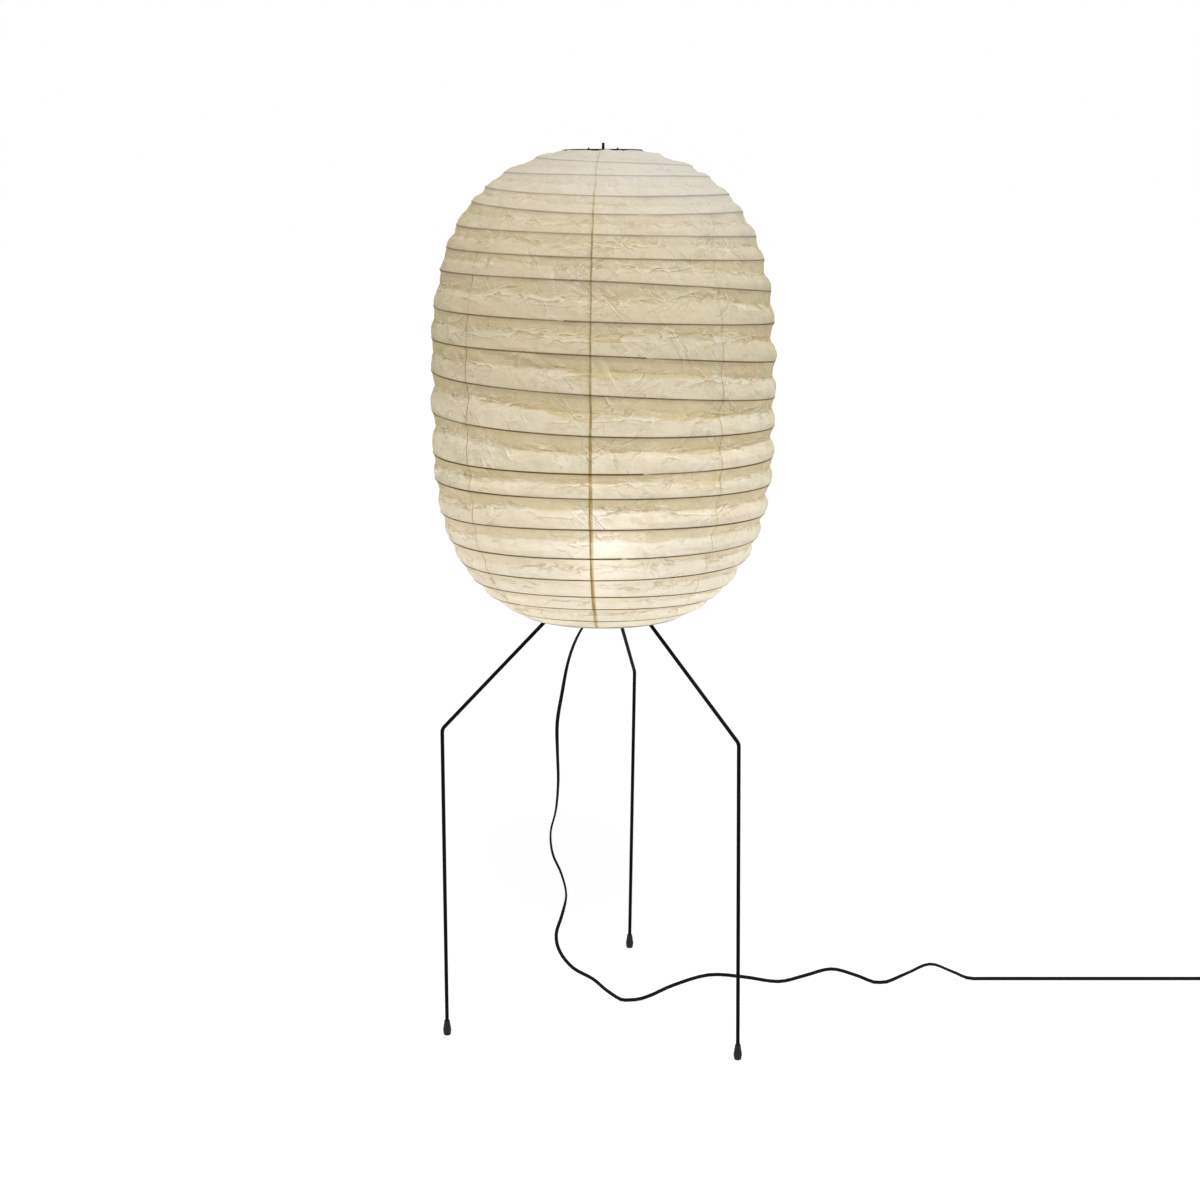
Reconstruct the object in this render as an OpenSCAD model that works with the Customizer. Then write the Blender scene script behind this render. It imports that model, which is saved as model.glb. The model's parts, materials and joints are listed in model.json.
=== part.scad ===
/* [Shade] */
// Height of the top hoop above the floor
top_z = 1400; // [1250:10:1600]
// Height of the bottom hoop above the floor
bottom_z = 691; // [685:1:700]
// Height of the shade's widest point
wide_z = 1010; // [940:10:1080]
// Largest radius of the paper, over the bamboo
shade_r = 266; // [220:2:300]
// Radius of the top hoop, at the middle of its wire
top_hoop_r = 58; // [50:1:75]
// Radius of the bottom hoop, at the middle of its wire
bottom_hoop_r = 131.5; // [115:0.5:150]
// Wire diameter of the two hoops
hoop_wire = 3; // [2:0.5:4]
// How full the shoulder above the widest point is
crown_fullness = 3.3; // [2.4:0.1:4]
// How full the belly below the widest point is
base_fullness = 3; // [2.4:0.1:4]
// How straight the sides are
side_fullness = 2.3; // [2:0.1:2.8]
// Thickness of the paper
paper = 0.6; // [0.4:0.1:1]
// How far the paper draws in between two turns, as a share of their spacing
paper_sag = 0.085; // [0.04:0.005:0.12]
// Diameter of the split bamboo
bamboo = 2; // [1.4:0.2:2.4]

/* [Stand] */
// Distance of each leg from the middle
leg_r = 268; // [240:4:288]
// Diameter of the leg rod
leg_d = 6; // [5:0.5:8]
// Height of the bend in the leg
bend_z = 518; // [440:2:560]
// Radius of the bend, at the middle of the rod
bend_r = 12; // [10:1:25]
// Height at which the three slanting rods would meet
meet_z = 768; // [764:1:774]
// Height of the rubber foot
foot_h = 25; // [20:1:34]
// Largest radius of the rubber foot
foot_r = 6.8; // [6:0.2:9]
// Radius of the hub ring
hub_r = 44; // [42:1:48]
// Height of the hub's underside
hub_z = 722; // [720:0.5:724]
// Thickness of the hub ring
hub_h = 30; // [30:0.5:32]
// Diameter of the two stretcher rods
stretcher_d = 4; // [3:0.5:5]
// Distance of each stretcher rod from the middle, at the hub
stretcher_foot_x = 37; // [36:0.5:38]
// Distance of each stretcher rod from the middle, at the top bar
stretcher_top_x = 22; // [20:0.5:26]
// Width of the top bar
bar_w = 9; // [8:0.5:12]
// Thickness of the top bar
bar_h = 2; // [1.5:0.5:3]
// Height of the centre pin over the top bar
pin_h = 10.6; // [8:0.2:16]
// Diameter of the centre pin
pin_d = 4.2; // [3.6:0.2:6]

/* [Lamp holder] */
// Outer radius of the threaded skirt
skirt_r = 20; // [19.5:0.1:20.5]
// Height of the skirt's upper edge
skirt_top_z = 764; // [762:1:766]
// Thickness of the shade ring that clamps the hub
ring_h = 7; // [5:0.5:9]
// Outer radius of the shade ring
ring_r = 27; // [25:0.5:28]
// Height of the cap's underside
cap_z = 700; // [698:0.5:702]
// Height of the switch spindle
key_z = 711; // [710.5:0.25:712]
// Length of the switch key's wing
key_wing = 12; // [10:0.5:16]
// Radius of the bulb
bulb_r = 29.5; // [27:0.5:30]
// Height of the bulb's middle
bulb_z = 800; // [798:1:806]
// Radius of the bulb's screw base
base_r = 13.2; // [13:0.1:13.3]

/* [Lead] */
// Width of the flat twin lead
cord_w = 6; // [5:0.5:7]
// Thickness of the flat twin lead
cord_t = 3.4; // [3:0.1:3.6]
// Lean of the strain relief
relief_lean = 38; // [30:1:42]
// Length of the leaning sleeve of the strain relief
relief_l = 19; // [18:0.5:20]
// Radius of the coil's outer turn
coil_r = 37; // [34:0.5:38]
// Distance between two turns of the coil
coil_pitch = 5.4; // [5:0.1:6]
// Length of the plug's body
plug_l = 30; // [26:1:36]

/* [Hidden] */
$fn = 48;

black = [0.06, 0.06, 0.065];
rubber = [0.09, 0.09, 0.09];
cream = [0.93, 0.89, 0.78];
bamboo_brown = [0.45, 0.32, 0.2];
brass = [0.78, 0.62, 0.32];
steel = [0.62, 0.62, 0.64];

clear = 0.3;     // gap between a piece and the seat that carries it
fit = 0.08;      // radial gap of a shaft in its bore
eps = 0.01;      // overlap of a cut past the face it opens

leg_azimuths = [200, 320.5, 78];
leg_splays = [0, 0.9, 0.5];         // how far each upright leans outward, in degrees
leg_sways = [-0.5, 0, 0.9];         // and to the side

// ---- Shade outline ----

// The turns of bamboo are irregular. Each row is one turn: how far it hangs below the top hoop
// where it crosses the left, the front and the right of a shade 709 high.
turn_drops = [
    [9, 18, 23], [31, 37, 39], [52, 66, 64], [73, 91, 90], [108, 119, 127], [141, 151, 162],
    [175, 183, 210], [230, 239, 257], [278, 286, 315], [327, 342, 371], [388, 400, 415],
    [453, 454, 461], [494, 490, 503], [546, 536, 550], [588, 581, 587], [624, 616, 621],
    [653, 645, 659], [678, 668, 680], [698, 693, 699]
];
turns = len(turn_drops);
first_drops = [2, 3, 5, 7];         // the paper's cut edge above the first turn
last_drops = [703, 704, 705, 706, 707];  // and below the last one
hoop_drop = max(last_drops) + 2;    // the bottom hoop, in the same measure

// Drops at every quarter turn, from one turn above the bamboo to one turn below it
quarter_drops = concat(
    first_drops,
    [
        for (i = [0:turns - 1], k = [0:3])
            k < 3 ? turn_drops[i][k]
                : i < turns - 1 ? (turn_drops[i][2] + turn_drops[i + 1][0]) / 2
                : (turn_drops[i][2] + last_drops[0]) / 2
    ],
    last_drops
);
quarter_last = len(quarter_drops) - 1;

function quarter(i) = quarter_drops[max(0, min(quarter_last, i))];
function curve(a, b, c, d, f) =
    b + 0.5 * f * (c - a + f * (2 * a - 5 * b + 4 * c - d + f * (3 * (b - c) + d - a)));
// Height of the bamboo after q quarter turns from the left side
function turn_z(q) =
    let (p = max(0, min(quarter_last, q + 4)), i = floor(p))
        top_z - (top_z - bottom_z) / hoop_drop
            * curve(quarter(i - 1), quarter(i), quarter(i + 1), quarter(i + 2), p - i);

gores = 8;
gore_angle = 360 / gores;
columns = 3;                        // spans across one gore
flat = cos(gore_angle / columns / 2);  // a span's middle lies this share of its ends' radius out

top_edge_r = (top_hoop_r + hoop_wire / 2) / flat + clear;
bottom_edge_r = (bottom_hoop_r + hoop_wire / 2) / flat + clear;
// Half-heights at which each side of the outline would close, so that it ends at the hoops
crown_h = (top_z - wide_z)
    / pow(1 - pow(top_edge_r / shade_r, side_fullness), 1 / crown_fullness);
base_h = (wide_z - bottom_z)
    / pow(1 - pow(bottom_edge_r / shade_r, side_fullness), 1 / base_fullness);

function outline_r(z) =
    let (up = z > wide_z, u = abs(z - wide_z) / (up ? crown_h : base_h))
        shade_r * pow(1 - pow(u, up ? crown_fullness : base_fullness), 1 / side_fullness);
// Outward normal of the outline at a height, as [radius, height]
function outline_normal(z) =
    let (slope = outline_r(z + 0.5) - outline_r(z - 0.5), s = sqrt(1 + slope * slope))
        [1 / s, -slope / s];
// Point of the outline at a height, moved inward by depth
function outline_point(z, depth) = [outline_r(z), z] - depth * outline_normal(z);

// Heights down one column of the paper: hoop, turns and hoop, at quarter turn q0 plus whole turns
function column_heights(q0) = concat(
    [top_z], [for (n = [-1:turns]) turn_z(q0 + 4 * n)], [bottom_z]
);
// The column's points on one face of the paper, drawn in between the heights
function column_points(q0, depth) =
    let (h = column_heights(q0), last = len(h) - 1)
    [
        for (i = [0:last])
            each concat(
                [outline_point(h[i], depth)],
                i == last ? []
                    : let (gap = norm(outline_point(h[i], 0) - outline_point(h[i + 1], 0)))
                        [outline_point((h[i] + h[i + 1]) / 2, depth + paper_sag * gap)]
            )
    ];

seam_azimuth = 176;                 // first seam
seam_gap = 0.03;                    // half the angle left open at a seam

function around(p, azimuth) = [p[0] * cos(azimuth), p[0] * sin(azimuth), p[1]];

// A closed skin over two grids of points that share their edges; grid[column][row]
module skin(outer, inner) {
    cols = len(outer);
    rows = len(outer[0]);
    side = cols * rows;
    function at(s, c, r) = s * side + c * rows + r;
    faces = concat(
        [for (c = [0:cols - 2], r = [0:rows - 2]) each [
            [at(0, c, r), at(0, c + 1, r), at(0, c, r + 1)],
            [at(0, c + 1, r), at(0, c + 1, r + 1), at(0, c, r + 1)],
            [at(1, c, r), at(1, c, r + 1), at(1, c + 1, r)],
            [at(1, c + 1, r), at(1, c, r + 1), at(1, c + 1, r + 1)]
        ]],
        [for (r = [0:rows - 2]) each [
            [at(0, 0, r), at(0, 0, r + 1), at(1, 0, r)],
            [at(1, 0, r), at(0, 0, r + 1), at(1, 0, r + 1)],
            [at(0, cols - 1, r), at(1, cols - 1, r), at(0, cols - 1, r + 1)],
            [at(1, cols - 1, r), at(1, cols - 1, r + 1), at(0, cols - 1, r + 1)]
        ]],
        [for (c = [0:cols - 2]) each [
            [at(0, c, 0), at(1, c, 0), at(0, c + 1, 0)],
            [at(1, c, 0), at(1, c + 1, 0), at(0, c + 1, 0)],
            [at(0, c, rows - 1), at(0, c + 1, rows - 1), at(1, c, rows - 1)],
            [at(1, c, rows - 1), at(0, c + 1, rows - 1), at(1, c + 1, rows - 1)]
        ]]
    );
    polyhedron(points = concat([for (c = outer) each c], [for (c = inner) each c]), faces = faces);
}

module gore(k) {
    start = seam_azimuth + k * gore_angle;
    function azimuth(c) =
        start + c * gore_angle / columns + (c == 0 ? seam_gap : c == columns ? -seam_gap : 0);
    // The first gore crosses the left side, where the count of turns steps on by one
    function quarters(c) = (azimuth(c) - 180) / 90 + (k == 0 ? 4 : 0);
    function face(depth) = [
        for (c = [0:columns]) [for (p = column_points(quarters(c), depth)) around(p, azimuth(c))]
    ];
    color(cream) skin(face(0), face(paper));
}

// ---- Swept tubes ----

function unit(v) = v / norm(v);
// Direction of the path at point i
function heading(path, i) =
    unit(path[min(i + 1, len(path) - 1)] - path[max(i - 1, 0)]);
// Ring of points round path[i], with its width along the given side direction
function ring(path, i, side, w, h, sides) =
    let (t = heading(path, i), a = unit(side - (side * t) * t), b = cross(t, a))
    [for (k = [0:sides - 1]) path[i] + w / 2 * cos(360 * k / sides) * a + h / 2 * sin(360 * k / sides) * b];

module tube(rings) {
    sides = len(rings[0]);
    last = len(rings) - 1;
    function at(i, k) = i * sides + k % sides;
    polyhedron(
        points = [for (r = rings) each r],
        faces = concat(
            [for (i = [0:last - 1], k = [0:sides - 1]) each [
                [at(i, k), at(i, k + 1), at(i + 1, k)],
                [at(i, k + 1), at(i + 1, k + 1), at(i + 1, k)]
            ]],
            [for (k = [1:sides - 2]) each [
                [at(0, 0), at(0, k + 1), at(0, k)],
                [at(last, 0), at(last, k), at(last, k + 1)]
            ]]
        )
    );
}

// Least distance between points of rings that lie at least `apart` rings from each other
function least_gap(rings, apart) = min([
    for (i = [0:len(rings) - 1 - apart])
        let (c = rings[i][0])
        for (j = [i + apart:len(rings) - 1])
            if (norm(rings[j][0] - c) < 60)
                for (p = rings[i], q = rings[j]) norm(p - q)
]);

// ---- Shade ----

spiral_step = gore_angle / columns / 90;
spiral_start = (seam_azimuth - 180) / 90 + spiral_step;
spiral_path = [
    for (q = [spiral_start:spiral_step:4 * turns])
        around(outline_point(turn_z(q), paper + clear + bamboo / 2), 180 + 90 * q)
];
spiral_rings = [
    for (i = [0:len(spiral_path) - 1]) ring(spiral_path, i, [0, 0, 1], bamboo, bamboo, 6)
];
rings_per_turn = gores * columns;

module bamboo_spiral() {
    echo(spiral_turns = (len(spiral_path) - 1) / rings_per_turn);
    echo(spiral_least_gap = least_gap(spiral_rings, rings_per_turn - 2));
    color(bamboo_brown) tube(spiral_rings);
}

module hoop(r, z) {
    color(black) translate([0, 0, z]) rotate_extrude($fn = 96) translate([r, 0]) circle(d = hoop_wire);
}
module top_hoop() { hoop(top_hoop_r, top_z); }
module bottom_hoop() { hoop(bottom_hoop_r, bottom_z); }

bar_z = top_z - bar_h / 2;          // underside of the top bar
tip_d = stretcher_d * 0.65;         // thin end of a stretcher rod
tip_hole_d = tip_d + 2 * clear + 0.2;
stud_d = 3;                         // riveted tail of the centre pin
head_d = 6;                         // its rivet head
head_h = 1.5;

module top_bar() {
    reach = sqrt(pow(top_hoop_r - hoop_wire / 2, 2) - pow(bar_w / 2, 2)) - clear;
    color(black) difference() {
        translate([-reach, -bar_w / 2, bar_z]) cube([2 * reach, bar_w, bar_h]);
        for (x = [-stretcher_top_x, 0, stretcher_top_x])
            translate([x, 0, bar_z - eps])
                cylinder(d = x == 0 ? stud_d + 2 * fit : tip_hole_d, h = bar_h + 2 * eps);
    }
}

module centre_pin() {
    color(black) translate([0, 0, bar_z - head_h]) rotate_extrude() polygon([
        [0, 0], [head_d / 2, 0], [head_d / 2, head_h], [stud_d / 2, head_h],
        [stud_d / 2, head_h + bar_h], [pin_d / 2, head_h + bar_h],
        [pin_d / 2, head_h + bar_h + pin_h - 0.6], [pin_d / 2 - 0.6, head_h + bar_h + pin_h],
        [0, head_h + bar_h + pin_h]
    ]);
}

// ---- Stand ----

foot_floor = 6;                     // rubber under the end of the rod
foot_wide_z = foot_h / 3;
rise = atan2(meet_z - bend_z, leg_r);
bend_swell = 0.1;                   // the rod ovals slightly where it is bent
bend_lap = 0.6;                     // straight rod carried into the bend
leg_inset = hub_r - 17;             // where the rod ends inside the hub
rod_end = 0.1;                      // gap between the rod's end and the rubber

slant_way = [cos(rise), 0, -sin(rise)];
// Direction of an upright from its bend to its foot, in the upright plane of its slanting rod
function rod_way(i) = unit([tan(leg_splays[i]), tan(leg_sways[i]), -1]);
// Length of the upright's axis from the bend down to a height
function rod_run(i, z) = (bend_z - z) / -rod_way(i)[2];

// Places its children on a leg's slanting axis, at a distance from the middle, pointing outward
module on_slant(r) {
    translate([r, 0, meet_z - r * tan(rise)]) rotate([0, 90 + rise, 0]) children();
}

// Places its children on a leg's upright axis, at a height, pointing up
module on_upright(i, z) {
    translate([leg_r, 0, bend_z]) rotate([atan(tan(leg_sways[i]) * cos(leg_splays[i])), -leg_splays[i], 0])
        translate([0, 0, -rod_run(i, z)]) children();
}

module leg(i) {
    turn = acos(slant_way * rod_way(i));
    normal = unit(cross(slant_way, rod_way(i)));
    roll = atan2(cross([0, 1, 0], normal) * slant_way, normal[1]);
    run = bend_r * tan(turn / 2);
    bend_at = norm([leg_r, meet_z - bend_z]);
    color(black) rotate([0, 0, leg_azimuths[i]]) {
        on_upright(i, foot_floor) translate([0, 0, rod_end])
            cylinder(d = leg_d, h = rod_run(i, foot_floor) - rod_end - run + bend_lap);
        translate([0, 0, meet_z]) rotate([0, rise, 0]) rotate([roll, 0, 0])
            translate([bend_at - run, 0, -bend_r]) rotate([90, 0, 0]) rotate([0, 0, 90 - turn])
                rotate_extrude(angle = turn) translate([bend_r, 0]) circle(d = leg_d + bend_swell);
        on_slant(leg_inset) cylinder(d = leg_d, h = bend_at - run - leg_inset / cos(rise) + bend_lap);
    }
}
module leg_left() { leg(0); }
module leg_right() { leg(1); }
module leg_rear() { leg(2); }

module foot(i) {
    bore_r = leg_d / 2 + fit;
    middle = rod_run(i, (foot_floor + foot_h) / 2) * rod_way(i);
    color(rubber) rotate([0, 0, leg_azimuths[i]]) difference() {
        translate([leg_r + middle[0], middle[1], 0]) rotate_extrude() polygon([
            [0, 0], [foot_r - 1.6, 0], [foot_r - 1.1, 0.6], [foot_r, foot_wide_z],
            [bore_r + 1.3, foot_h - 0.5], [bore_r + 0.9, foot_h], [0, foot_h]
        ]);
        on_upright(i, foot_floor) cylinder(r = bore_r, h = foot_h);
    }
}
module foot_left() { foot(0); }
module foot_right() { foot(1); }
module foot_rear() { foot(2); }

hub_top = hub_z + hub_h;
hub_chamfer = 3;
grub_d = 3;
grub_x = hub_r - 8;
grub_top = meet_z - (grub_x + grub_d / 2) * tan(rise) - leg_d / 2 / cos(rise) - 0.2;
stretcher_sink = 10;                // depth of a stretcher rod in the hub
collar_d = 7;
collar_h = 3;
collar_z = bar_z - clear - collar_h;
tip_over = 3.4;                     // how far a stretcher tip stands over the top bar
stretcher_z = hub_top - stretcher_sink;
stretcher_lean = atan2(stretcher_foot_x - stretcher_top_x, bar_z - stretcher_z);

// Places its children on the right-hand stretcher rod's axis at a height
module on_stretcher(z) {
    x = stretcher_top_x + (bar_z - z) * tan(stretcher_lean);
    translate([x, 0, z]) rotate([0, -stretcher_lean, 0]) children();
}

module leg_hub() {
    color(black) difference() {
        translate([0, 0, hub_z]) rotate_extrude($fn = 96) polygon([
            [skirt_r + clear, 0], [hub_r - hub_chamfer, 0], [hub_r, hub_chamfer],
            [hub_r, hub_h - hub_chamfer], [hub_r - hub_chamfer, hub_h], [skirt_r + clear, hub_h]
        ]);
        for (a = leg_azimuths) rotate([0, 0, a]) {
            on_slant(leg_inset) cylinder(d = leg_d + 2 * fit, h = hub_r);
            // The screw's bore opens into the rod's
            translate([grub_x, 0, hub_z - eps])
                cylinder(d = grub_d + 2 * fit, h = grub_top - hub_z + grub_d * tan(rise) + eps);
        }
        for (s = [0, 180]) rotate([0, 0, s])
            on_stretcher(stretcher_z) cylinder(d = stretcher_d + 2 * fit, h = 2 * stretcher_sink);
    }
}

module leg_grub_screws() {
    recess_d = 1.7;
    recess = 1.5;
    color(steel) for (a = leg_azimuths) rotate([0, 0, a]) translate([grub_x, 0, 0]) difference() {
        translate([0, 0, hub_z + 0.4]) cylinder(d = grub_d, h = grub_top - hub_z - 0.4);
        translate([0, 0, hub_z + 0.4 - eps]) cylinder(d = recess_d, h = recess, $fn = 6);
    }
}

module stretcher() {
    rod = (collar_z - stretcher_z) / cos(stretcher_lean);
    tip = rod + collar_h + clear + bar_h + tip_over;
    color(black) on_stretcher(stretcher_z) rotate_extrude() polygon([
        [0, 0.2], [stretcher_d / 2, 0.2], [stretcher_d / 2, rod], [collar_d / 2, rod],
        [collar_d / 2, rod + collar_h - 0.5], [collar_d / 2 - 0.5, rod + collar_h],
        [tip_d / 2, rod + collar_h], [tip_d / 2, tip - 0.4], [tip_d / 2 - 0.4, tip], [0, tip]
    ]);
}
module stretcher_right() { stretcher(); }
module stretcher_left() { rotate([0, 0, 180]) stretcher(); }

// ---- Lamp holder ----

wall = 3;
flange_h = 4;
flange_r = skirt_r + 5;
skirt_z = hub_z - flange_h;         // cap and skirt meet here
core_r = skirt_r - wall - clear;
core_z = cap_z + wall;
core_top = skirt_z + 10;
shell_wall = 1.2;
shell_r = base_r + 0.4 + shell_wall;
base_tip_z = core_top + shell_wall;
spindle_d = 4;
spindle_in = 8;                     // where the spindle ends inside the core
relief_hole_r = 4.5;

module socket_cap() {
    color(black) difference() {
        translate([0, 0, cap_z]) rotate_extrude() polygon([
            [relief_hole_r, 0], [skirt_r - 4, 0], [skirt_r - 1, 1.5], [skirt_r, 4],
            [skirt_r, skirt_z - cap_z], [skirt_r - wall, skirt_z - cap_z],
            [skirt_r - wall, wall], [relief_hole_r, wall]
        ]);
        translate([0, 0, key_z]) rotate([0, 90, 0]) cylinder(d = spindle_d + 2 * clear, h = 2 * skirt_r);
    }
}

module socket_core() {
    well_r = 9;                     // the lead spreads to its terminals here
    color([0.85, 0.84, 0.8]) difference() {
        translate([0, 0, core_z]) cylinder(r = core_r, h = core_top - core_z);
        translate([0, 0, core_z - eps]) cylinder(r = well_r, h = 4 + eps);
        translate([spindle_in, 0, key_z]) rotate([0, 90, 0])
            cylinder(d = spindle_d + 2 * fit, h = 2 * skirt_r);
    }
}

module socket_shell() {
    color(brass) translate([0, 0, core_top]) rotate_extrude() polygon([
        [0, 0], [shell_r, 0], [shell_r, 29], [shell_r - shell_wall, 29],
        [shell_r - shell_wall, shell_wall], [0, shell_wall]
    ]);
}

module socket_skirt() {
    color(black) translate([0, 0, skirt_z]) rotate_extrude() polygon([
        [skirt_r - wall, 0], [flange_r, 0], [flange_r, flange_h], [skirt_r, flange_h],
        [skirt_r, skirt_top_z - skirt_z], [skirt_r - wall, skirt_top_z - skirt_z]
    ]);
}

module shade_ring() {
    ribs = 12;
    color(black) translate([0, 0, hub_top]) difference() {
        rotate_extrude() polygon([
            [skirt_r + fit, 0], [ring_r, 0], [ring_r, ring_h - 1], [ring_r - 1, ring_h],
            [skirt_r + fit, ring_h]
        ]);
        for (i = [0:ribs - 1]) rotate([0, 0, 360 * i / ribs + 15])
            translate([ring_r + 1.2, 0, -eps]) cylinder(r = 2, h = ring_h + 2 * eps, $fn = 24);
    }
}

key_x = skirt_r + 4;                // inner end of the key's collar

module switch_spindle() {
    color(brass) translate([spindle_in + clear, 0, key_z]) rotate([0, 90, 0])
        cylinder(d = spindle_d, h = key_x + 5 - spindle_in - clear);
}

module switch_key() {
    collar = 5;
    wing_w = 16;
    wing_t = 3.6;
    color(black) translate([key_x, 0, key_z]) rotate([0, 90, 0]) difference() {
        union() {
            cylinder(d = 9, h = collar + 1);
            translate([0, 0, collar]) rotate([90, 0, 0]) linear_extrude(wing_t, center = true)
                intersection() {
                    translate([-wing_w / 2, 0]) square([wing_w, key_wing]);
                    translate([0, key_wing - wing_w / 2]) circle(r = wing_w / 2 + 1.2);
                }
        }
        translate([0, 0, -eps]) cylinder(d = spindle_d, h = collar + eps);
    }
}

neck_z = base_tip_z + 26;           // where glass and screw base meet
base_step = 3;

module bulb_base() {
    color(steel) translate([0, 0, base_tip_z]) rotate_extrude() polygon([
        [0, 0], [4.5, 0], [4.5, 1], [base_r - 3, base_step], [base_r, base_step + 1.5],
        [base_r, neck_z - base_tip_z], [0, neck_z - base_tip_z]
    ]);
}

glass_wall = 1;
neck_r = base_r - 0.4;

// Outside of the bulb, drawn in by depth
module bulb_form(depth) {
    low = 0.48 * bulb_r;            // the cone leaves the globe this far below its middle
    rim = sqrt(bulb_r * bulb_r - low * low);
    translate([0, 0, bulb_z]) sphere(r = bulb_r - depth, $fn = 64);
    translate([0, 0, neck_z + 3])
        cylinder(r1 = neck_r - depth, r2 = rim - depth, h = bulb_z - low - neck_z - 3);
    translate([0, 0, neck_z + (depth > 0 ? glass_wall : 0)])
        cylinder(r = neck_r - depth, h = 3 - (depth > 0 ? glass_wall : 0) + eps);
}

module bulb_glass() {
    color([1, 0.96, 0.86]) difference() {
        bulb_form(0);
        bulb_form(glass_wall);
    }
}

// ---- Lead and plug ----

relief_flange = 3;
relief_r = relief_hole_r - fit;
relief_way = [-sin(relief_lean), 0, -cos(relief_lean)];
relief_top = cap_z - relief_flange;
cord_start = [0, 0, relief_top] + relief_l * relief_way;

module cord_relief() {
    color(rubber) {
        translate([0, 0, cap_z - eps]) cylinder(r = relief_r, h = wall + eps);
        translate([0, 0, relief_top]) cylinder(r = relief_r + 2.2, h = relief_flange);
        difference() {
            translate([0, 0, relief_top]) sphere(r = relief_r);
            translate([0, 0, relief_top]) cylinder(r = 2 * relief_r, h = 2 * relief_r);
        }
        translate([0, 0, relief_top]) rotate([0, 180 + relief_lean, 0])
            cylinder(r1 = relief_r, r2 = relief_r - 0.9, h = relief_l);
    }
}

// The free stretch: down from the holder, then in low arches over the floor to the right
cord_points = [
    [-31, 0, 662], [-46, 1, 633], [-57, 3, 598], [-66, 4, 550], [-74, 6, 500], [-74, 8, 450],
    [-73, 10, 400], [-77, 12, 350], [-86, 15, 310], [-83, 17, 272], [-69, 20, 236], [-61, 22, 198],
    [-68, 24, 162], [-78, 26, 126], [-72, 28, 94], [-50, 30, 64], [-17, 33, 43], [8, 35, 20],
    [38, 36, 2], [75, 41, 7], [120, 48, 25], [180, 58, 39], [240, 68, 31], [300, 78, 18],
    [345, 86, 25], [392, 94, 34], [435, 101, 20], [480, 108, 2], [525, 113, 17], [566, 117, 33],
    [605, 121, 18], [645, 124, 2], [720, 124, 2], [880, 124, 2], [1040, 124, 2]
];
coil_x = 1110;
coil_y = 124;                       // the lead enters and leaves the coil here
tie_t = 0.8;
coil_low = tie_t + clear + cord_w / 2;
coil_rise = cord_w + 0.8;
lead_in = 6;
coil_turns = 3;
coil_steps = 24;

function curve_point(p, i, f) =
    let (n = len(p) - 1, a = p[max(i - 1, 0)], b = p[i], c = p[min(i + 1, n)], d = p[min(i + 2, n)])
        [for (k = [0:2]) curve(a[k], b[k], c[k], d[k], f)];
// The lead lies on the floor at its lowest
function laid(p, half) = [p[0], p[1], max(p[2], half + 0.1)];

run_knots = concat(
    [cord_start], cord_points, [[coil_x - lead_in, coil_y, coil_low]]
);
run_path = [
    for (i = [0:len(run_knots) - 1], f = i == len(run_knots) - 1 ? [0] : [0, 0.5])
        laid(curve_point(run_knots, i, f), cord_t / 2)
];
twist_from = 1040;                  // the lead turns on edge between here and the coil
function twist(x) = max(0, min(1, (x - twist_from) / (coil_x - lead_in - twist_from)));
function cord_side(x) = [0, cos(90 * twist(x)), sin(90 * twist(x))];

module cord_run() {
    start = concat([cord_start], [for (i = [1:len(run_path) - 1]) run_path[i]]);
    // The first ring stands square to the strain relief, and the last one square to the coil
    first = [cord_start, cord_start + relief_way];
    last = [run_path[len(run_path) - 1], run_path[len(run_path) - 1] + [1, 0, 0]];
    color(black) tube(concat(
        [ring(first, 0, [0, 1, 0], cord_w, cord_t, 8)],
        [for (i = [1:len(start) - 2]) ring(start, i, cord_side(start[i][0]), cord_w, cord_t, 8)],
        [ring(last, 0, [0, 0, 1], cord_w, cord_t, 8)]
    ));
}

// Radius and height along the coil: in for half of it, up one layer, and out again
function coil_radius(t) = coil_r - coil_pitch * (coil_turns / 2 - abs(t - coil_turns / 2));
function ease(f) = let (c = max(0, min(1, f))) c * c * (3 - 2 * c);
function coil_height(t) = coil_low + coil_rise * ease((t - coil_turns / 2 + 0.27) / 0.5);
coil_path = concat(
    [[coil_x - lead_in, coil_y, coil_low]],
    [
        for (i = [0:coil_turns * coil_steps])
            let (t = i / coil_steps, r = coil_radius(t))
                [coil_x + r * sin(360 * t), coil_y + coil_r - r * cos(360 * t), coil_height(t)]
    ],
    [[coil_x + lead_in, coil_y, coil_low + coil_rise]]
);
coil_ends = [
    [coil_path[0], coil_path[0] + [1, 0, 0]],
    [coil_path[len(coil_path) - 1] - [1, 0, 0], coil_path[len(coil_path) - 1]]
];
coil_rings = concat(
    [ring(coil_ends[0], 0, [0, 0, 1], cord_w, cord_t, 6)],
    [for (i = [1:len(coil_path) - 2]) ring(coil_path, i, [0, 0, 1], cord_w, cord_t, 6)],
    [ring(coil_ends[1], 1, [0, 0, 1], cord_w, cord_t, 6)]
);

module cord_coil() {
    echo(coil_least_gap = least_gap(coil_rings, coil_steps - 4));
    color(black) tube(coil_rings);
}

plug_h = 16;
plug_w = 24;
neck_l = 12;
plug_x = coil_x + 64;               // front of the moulded neck
plug_z = plug_h / 2;
tail_path = [
    coil_ends[1][1], coil_ends[1][1] + [14, 0, 0], [plug_x - 24, coil_y, plug_z + 1],
    [plug_x - 12, coil_y, plug_z], [plug_x, coil_y, plug_z]
];
// The lead turns flat again before the plug
function tail_side(i) = [0, sin(90 * i / (len(tail_path) - 1)), cos(90 * i / (len(tail_path) - 1))];

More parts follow.
